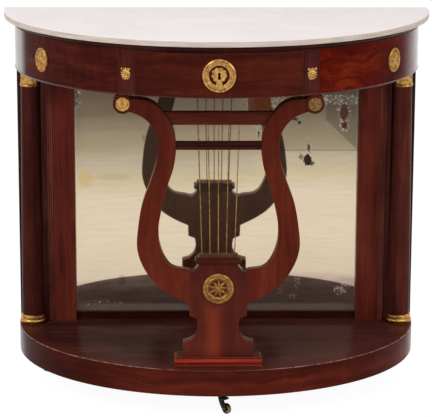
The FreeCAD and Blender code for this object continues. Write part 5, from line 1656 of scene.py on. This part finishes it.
    def build_medallion(self) -> bpy.types.Object:
        """Moulded ring around an openwork rosette."""
        profile = [(0.0340, 0.0), (0.0340, 0.0016)]
        profile += arc((0.0330, 0.0020), 0.0010, 0.0, 120.0, 4)
        profile += arc((0.0302, 0.0016), 0.0022, 50.0, 130.0, 6)
        profile += [(0.0284, 0.0024), (0.0279, 0.0018), (0.0268, 0.0018)]
        profile += arc((0.0244, 0.0014), 0.0024, 45.0, 140.0, 6)
        profile += [(0.0218, 0.0016), (0.0208, 0.0008), (0.0206, 0.0)]
        ring = Bench.turned("medallion_mount", profile + profile[:1], loop=True)
        Bench.lobes(ring, 9, 0.0116, (0.0062, 0.0029, 0.0011), 0.0010, 0.1, 0.06)
        Bench.lobes(ring, 9, 0.0178, (0.0034, 0.0010, 0.0009), 0.0008, 0.1)
        Bench.lobes(ring, 6, 0.0064, (0.0038, 0.0022, 0.0014), 0.0018, 0.3)
        button = Bench.turned("medallion_button", [
            (0.0040, 0.0), (0.0040, 0.0026), (0.0032, 0.0034), (0.0016, 0.0038)], segments=32)
        rim = Bench.turned("medallion_band", [
            (0.0210, 0.0), (0.0210, 0.0008), (0.0196, 0.0008), (0.0196, 0.0), (0.0210, 0.0)],
            loop=True)
        return Bench.join("medallion_mount", ring, button, rim)

    def build_roundel(self, name: str) -> bpy.types.Object:
        """Small disc with a raised rim and a rosette."""
        profile = [(0.0150, -0.0008), (0.0150, 0.0012)]
        profile += arc((0.0138, 0.0014), 0.0012, 0.0, 140.0, 5)
        profile += [(0.0124, 0.0012), (0.0114, 0.0008), (0.0070, 0.0012), (0.0030, 0.0016)]
        profile += arc((0.0006, 0.0014), 0.0018, 40.0, 85.0, 4)
        disc = Bench.turned(name, profile, segments=56)
        Bench.lobes(disc, 8, 0.0068, (0.0046, 0.0023, 0.0011), 0.0014, 0.2, steps=(10, 6))
        return disc

    def build_mask(self, name: str) -> bpy.types.Object:
        """Small animal mask: a mane around a muzzle, brows, cheeks and ears."""
        parts = (
            ((0.0, -0.0010, 0.0000), (0.0100, 0.0118, 0.0046)),
            ((0.0, 0.0052, 0.0024), (0.0066, 0.0052, 0.0032)),
            ((0.0, -0.0010, 0.0046), (0.0021, 0.0058, 0.0026)),
            ((0.0033, -0.0052, 0.0040), (0.0034, 0.0030, 0.0026)),
            ((-0.0033, -0.0052, 0.0040), (0.0034, 0.0030, 0.0026)),
            ((0.0, -0.0042, 0.0060), (0.0022, 0.0016, 0.0014)),
            ((0.0, -0.0096, 0.0022), (0.0034, 0.0026, 0.0022)),
            ((0.0042, 0.0042, 0.0038), (0.0026, 0.0012, 0.0014)),
            ((-0.0042, 0.0042, 0.0038), (0.0026, 0.0012, 0.0014)),
            ((0.0086, 0.0106, 0.0012), (0.0026, 0.0032, 0.0022)),
            ((-0.0086, 0.0106, 0.0012), (0.0026, 0.0032, 0.0022)))
        Bench.rest()
        bpy.ops.mesh.primitive_uv_sphere_add(segments=24, ring_count=14, radius=1.0,
                                             location=parts[0][0], scale=parts[0][1])
        mask = bpy.context.object
        mask.name = name
        Bench.edit(mask, False)
        for spot, size in parts[1:]:
            bpy.ops.mesh.primitive_uv_sphere_add(segments=20, ring_count=12, radius=1.0,
                                                 location=spot, scale=size)
        for number in range(13):
            angle = math.radians(-150.0 + 25.0 * number) + math.pi / 2.0
            bpy.ops.mesh.primitive_uv_sphere_add(
                segments=14, ring_count=8, radius=1.0, scale=(0.0036, 0.0017, 0.0019),
                location=(0.0086 * math.cos(angle), 0.0112 * math.sin(angle), 0.0012),
                rotation=(0.0, 0.0, angle))
        bpy.ops.object.mode_set(mode="OBJECT")
        Bench.modify(mask, "REMESH", mode="VOXEL", voxel_size=0.00035)
        Bench.modify(mask, "SMOOTH", factor=0.5, iterations=3)
        Bench.slice(mask, (0.0, 0.0, -0.0010), (0.0, 0.0, -1.0))
        return Bench.tidy(mask)


def keyhole_tools(name: str, rise: float) -> tuple[bpy.types.Object, bpy.types.Object]:
    """Tools that cut a keyhole through a plate lying flat: a round hole and a flared slot."""
    foot = rise - 0.0058
    round_hole = Bench.turned(f"{name}_round", [(0.0032, -0.02), (0.0032, 0.02)], (0.0, rise), 28)
    slot = Bench.stack(f"{name}_slot", [(0.0017, 0.0058, -0.02), (0.0017, 0.0058, 0.02)],
                       (0.0, foot))

    def flare(place: Vector) -> None:
        """Widen the lower end of the slot."""
        if place.y < foot:
            place.x *= 1.9

    Bench.reshape(slot, flare)
    return round_hole, slot


@dataclass
class Casters:
    """Three swivelling casters: plate, horn, wheel and axle.

    Attributes:
        spots: X, Y and turn in degrees of each caster's swivel.
        trail: distance of the axle from the swivel.
        wheel: radius of a wheel.
        wide: width of a wheel.
        play: clearance between a wheel and a cheek.
        ear: thickness of a cheek.
    """

    spots: dict[str, Ring] = field(default_factory=lambda: {
        "front": (0.010, -0.142, -50.0), "rear_left": (-0.380, 0.150, 205.0),
        "rear_right": (0.380, 0.150, -35.0)})
    trail: float = 0.014
    wheel: float = 0.012
    wide: float = 0.009
    play: float = 0.0008
    ear: float = 0.0022

    def build(self, palette: Palette) -> None:
        """Model and dress the casters."""
        plates = []
        horn = self.build_horn()
        wheel = self.build_wheel()
        axle = self.build_axle()
        for name, (x, y, degrees) in self.spots.items():
            turn = math.radians(degrees)
            plates.append(self.build_plate(x, y))
            for source, word, body in ((horn, "horn", f"caster_{name}"),
                                       (axle, "axle", f"caster_{name}"),
                                       (wheel, "wheel", f"wheel_{name}")):
                item = Bench.copy(source, f"{word}_{name}")
                Bench.settle(item, (x, y, 0.0), turn, 0.0)
                finish = {"horn": palette.caster, "wheel": palette.wheel}.get(word, palette.steel)
                slot = "caster_axle" if word == "axle" else "caster_brass"
                dress(item, finish, body, slot, f"caster_{name}_{word}")
        for source in (horn, wheel, axle):
            bpy.data.objects.remove(source)
        mount = Bench.join("plates", *plates)
        dress(mount, palette.caster, "table", "caster_brass", "caster_plates")

    def build_plate(self, x: float, y: float) -> bpy.types.Object:
        """Round plate under a block, with the barrel that holds the pin."""
        points = [(0.00305, 0.0410), (0.0062, 0.0410), (0.0068, 0.0416), (0.0068, 0.0560),
                  (0.0080, 0.0570), (0.0192, 0.0570), (0.0200, 0.0576), (0.0200, 0.0600),
                  (0.00305, 0.0600), (0.00305, 0.0410)]
        return Bench.turned("plate", points, (x, y), 48, loop=True)

    def build_horn(self) -> bpy.types.Object:
        """Pin, crown and fork, trailing along X."""
        points = [(0.0055, 0.0340), (0.0070, 0.0352), (0.0074, 0.0368), (0.0074, 0.0388),
                  (0.0064, 0.0402), (0.0040, 0.0410), (0.0030, 0.0411), (0.0030, 0.0585),
                  (0.0025, 0.0590)]
        horn = Bench.turned("horn", points, segments=40)
        gap, ear = self.wide / 2.0 + self.play, self.ear
        bridge = Bench.block("bridge", (-0.0066, -gap - ear, 0.0316),
                             (self.trail - 0.0005, gap + ear, 0.0362), 0.0008)
        Bench.carve(horn, bridge, operation="UNION")
        for side in (1.0, -1.0):
            cheek = self.build_cheek(side * (gap + ear / 2.0), ear)
            Bench.carve(horn, cheek, operation="UNION")
        return horn

    def build_cheek(self, y: float, ear: float) -> bpy.types.Object:
        """One cheek of the fork, from the crown down to the axle's eye."""
        line = ((0.0015, 0.0350, 0.0146), (0.0048, 0.0280, 0.0180), (0.0088, 0.0200, 0.0172),
                (0.0125, self.wheel, 0.0130))
        line = curve_through(line, 4)
        Bench.rest()
        bpy.ops.mesh.primitive_plane_add(size=1.0, location=(line[0][0], y, line[0][1]))
        item = bpy.context.object
        item.scale = (line[0][2], ear, 1.0)
        bpy.ops.object.transform_apply(location=False, rotation=False, scale=True)
        bpy.ops.object.mode_set(mode="EDIT")
        bpy.ops.mesh.select_all(action="SELECT")
        for before, after in zip(line, line[1:]):
            bpy.ops.mesh.extrude_region_move(TRANSFORM_OT_translate={
                "value": (after[0] - before[0], 0.0, after[1] - before[1])})
            bpy.ops.transform.resize(value=(after[2] / before[2], 1.0, 1.0),
                                     center_override=(after[0], y, after[1]))
        Bench.tidy(item)
        eye = Bench.rod("eye", (self.trail, y - ear / 2.0, self.wheel),
                        (self.trail, y + ear / 2.0, self.wheel), 0.0062, 40)
        Bench.carve(item, eye, operation="UNION")
        hole = Bench.rod("hole", (self.trail, y - ear, self.wheel),
                         (self.trail, y + ear, self.wheel), 0.0020, 24)
        Bench.carve(item, hole)
        return Bench.soften(item, 0.0003, 1, 50.0)

    def build_wheel(self) -> bpy.types.Object:
        """Wheel with a crowned tread and sunk sides around a hub."""
        half = self.wide / 2.0
        points = [(0.00206, -half), (0.0042, -half), (0.0046, -half + 0.0008),
                  (0.0082, -half + 0.0012), (0.0092, -half + 0.0001), (0.0106, -half)]
        points += [(0.0114, -half + 0.0008), (0.0120, -half + 0.0026)]
        points += [(radius, -z) for radius, z in points[::-1]]
        points.append(points[0])
        wheel = Bench.turned("wheel", points, segments=56, loop=True)
        return Bench.settle(wheel, (self.trail, 0.0, self.wheel))

    def build_axle(self) -> bpy.types.Object:
        """Axle with domed heads."""
        reach = self.wide / 2.0 + self.play + self.ear + 0.001
        points = [(0.0010, -reach), (0.0018, -reach + 0.0005), (0.0020, -reach + 0.001),
                  (0.0020, reach - 0.001), (0.0018, reach - 0.0005), (0.0010, reach)]
        axle = Bench.turned("axle", points, segments=24)
        return Bench.settle(axle, (self.trail, 0.0, self.wheel))


# --------------------------------------------------------------------------------- studio


@dataclass
class Studio:
    """White room, soft lamps and the main camera."""

    spot: Ring = (-0.0802, -5.130, 1.7645)
    down: float = 14.59
    aside: float = 0.859
    roll: float = 0.17
    lens: float = 198.2

    def build(self) -> None:
        """Set up floor, world, lamps, camera and view."""
        self.build_floor()
        self.build_world()
        self.build_lamp("left_lamp", (-2.6, -2.4, 2.6), (-0.1, 0.0, 0.5), (2.0, 1.6), 66.0)
        self.build_lamp("right_lamp", (2.6, -2.0, 2.2), (0.1, 0.0, 0.5), (1.4, 1.4), 34.0)
        self.build_lamp("top_lamp", (0.0, -0.6, 3.4), (0.0, 0.0, 0.6), (2.4, 2.0), 12.0)
        self.build_camera()
        bpy.context.scene.view_settings.view_transform = "Standard"

    def build_floor(self) -> None:
        """Plain pale floor that keeps the shadow."""
        Bench.rest()
        bpy.ops.mesh.primitive_plane_add(size=14.0, location=(0.0, 0.0, 0.0))
        floor = bpy.context.object
        floor.name = "studio_floor"
        net = Net("studio_floor")
        rays = net.node("LightPath").outputs
        seen = net.larger(rays["Is Camera Ray"], rays["Is Glossy Ray"])
        seen = net.larger(seen, rays["Is Transmission Ray"])
        plain = net.node("BsdfDiffuse", {"Color": (0.8, 0.8, 0.8, 1.0)}).outputs[0]
        faint = net.node("BsdfDiffuse", {"Color": (0.12, 0.12, 0.12, 1.0)}).outputs[0]
        glow = net.node("Emission", {"Color": (1.0, 1.0, 1.0, 1.0), "Strength": 0.95}).outputs[0]
        both = net.node("AddShader", {0: faint, 1: glow}).outputs[0]
        shown = net.node("MixShader", {0: seen, 1: plain, 2: both}).outputs[0]
        net.node("OutputMaterial", {"Surface": shown})
        floor.data.materials.append(net.owner)

    def build_world(self) -> None:
        """White surroundings for the camera, softer ones for the light."""
        net = Net("studio_world", bpy.data.worlds.new("studio_world"))
        bpy.context.scene.world = net.owner
        rays = net.node("LightPath").outputs
        seen = net.larger(rays["Is Glossy Ray"], rays["Is Transmission Ray"])
        seen = net.larger(rays["Is Camera Ray"], seen)
        strength = net.node("MapRange", {0: seen, "To Min": 0.55, "To Max": 1.0}).outputs[0]
        back = net.node("Background", {0: (1.0, 1.0, 1.0, 1.0), 1: strength}).outputs[0]
        net.node("OutputWorld", {0: back})

    def build_lamp(self, name: str, spot: Ring, aim: Ring, size: tuple[float, float],
                   power: float) -> None:
        """Add a soft lamp that looks at a point."""
        Bench.rest()
        bpy.ops.object.light_add(type="AREA", location=spot)
        lamp = bpy.context.object
        lamp.name = name
        lamp.rotation_euler = (Vector(aim) - Vector(spot)).to_track_quat("-Z", "Y").to_euler()
        lamp.data.shape = "RECTANGLE"
        lamp.data.size, lamp.data.size_y = size
        lamp.data.energy = power

    def build_camera(self) -> None:
        """Main camera, slightly above the table and almost straight ahead."""
        Bench.rest()
        turn = (Matrix.Rotation(math.radians(-self.aside), 3, "Z")
                @ Matrix.Rotation(math.radians(90.0 - self.down), 3, "X")
                @ Matrix.Rotation(math.radians(self.roll), 3, "Z"))
        bpy.ops.object.camera_add(location=self.spot, rotation=turn.to_euler())
        camera = bpy.context.object
        camera.name = "main_camera"
        camera.data.lens = self.lens
        camera.data.sensor_width = 36.0
        camera.data.clip_end = 50.0
        bpy.context.scene.camera = camera


def main() -> None:
    """Build the whole picture."""
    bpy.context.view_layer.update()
    palette = Palette()
    for piece in (MarbleTop(), Frieze(), Drawer(), Columns(), BackFrame(), Plinth(), Lyre(),
                  Ornaments(), Casters()):
        log.info("%s", type(piece).__name__)
        piece.build(palette)
    Studio().build()


if __name__ == "__main__":
    main()
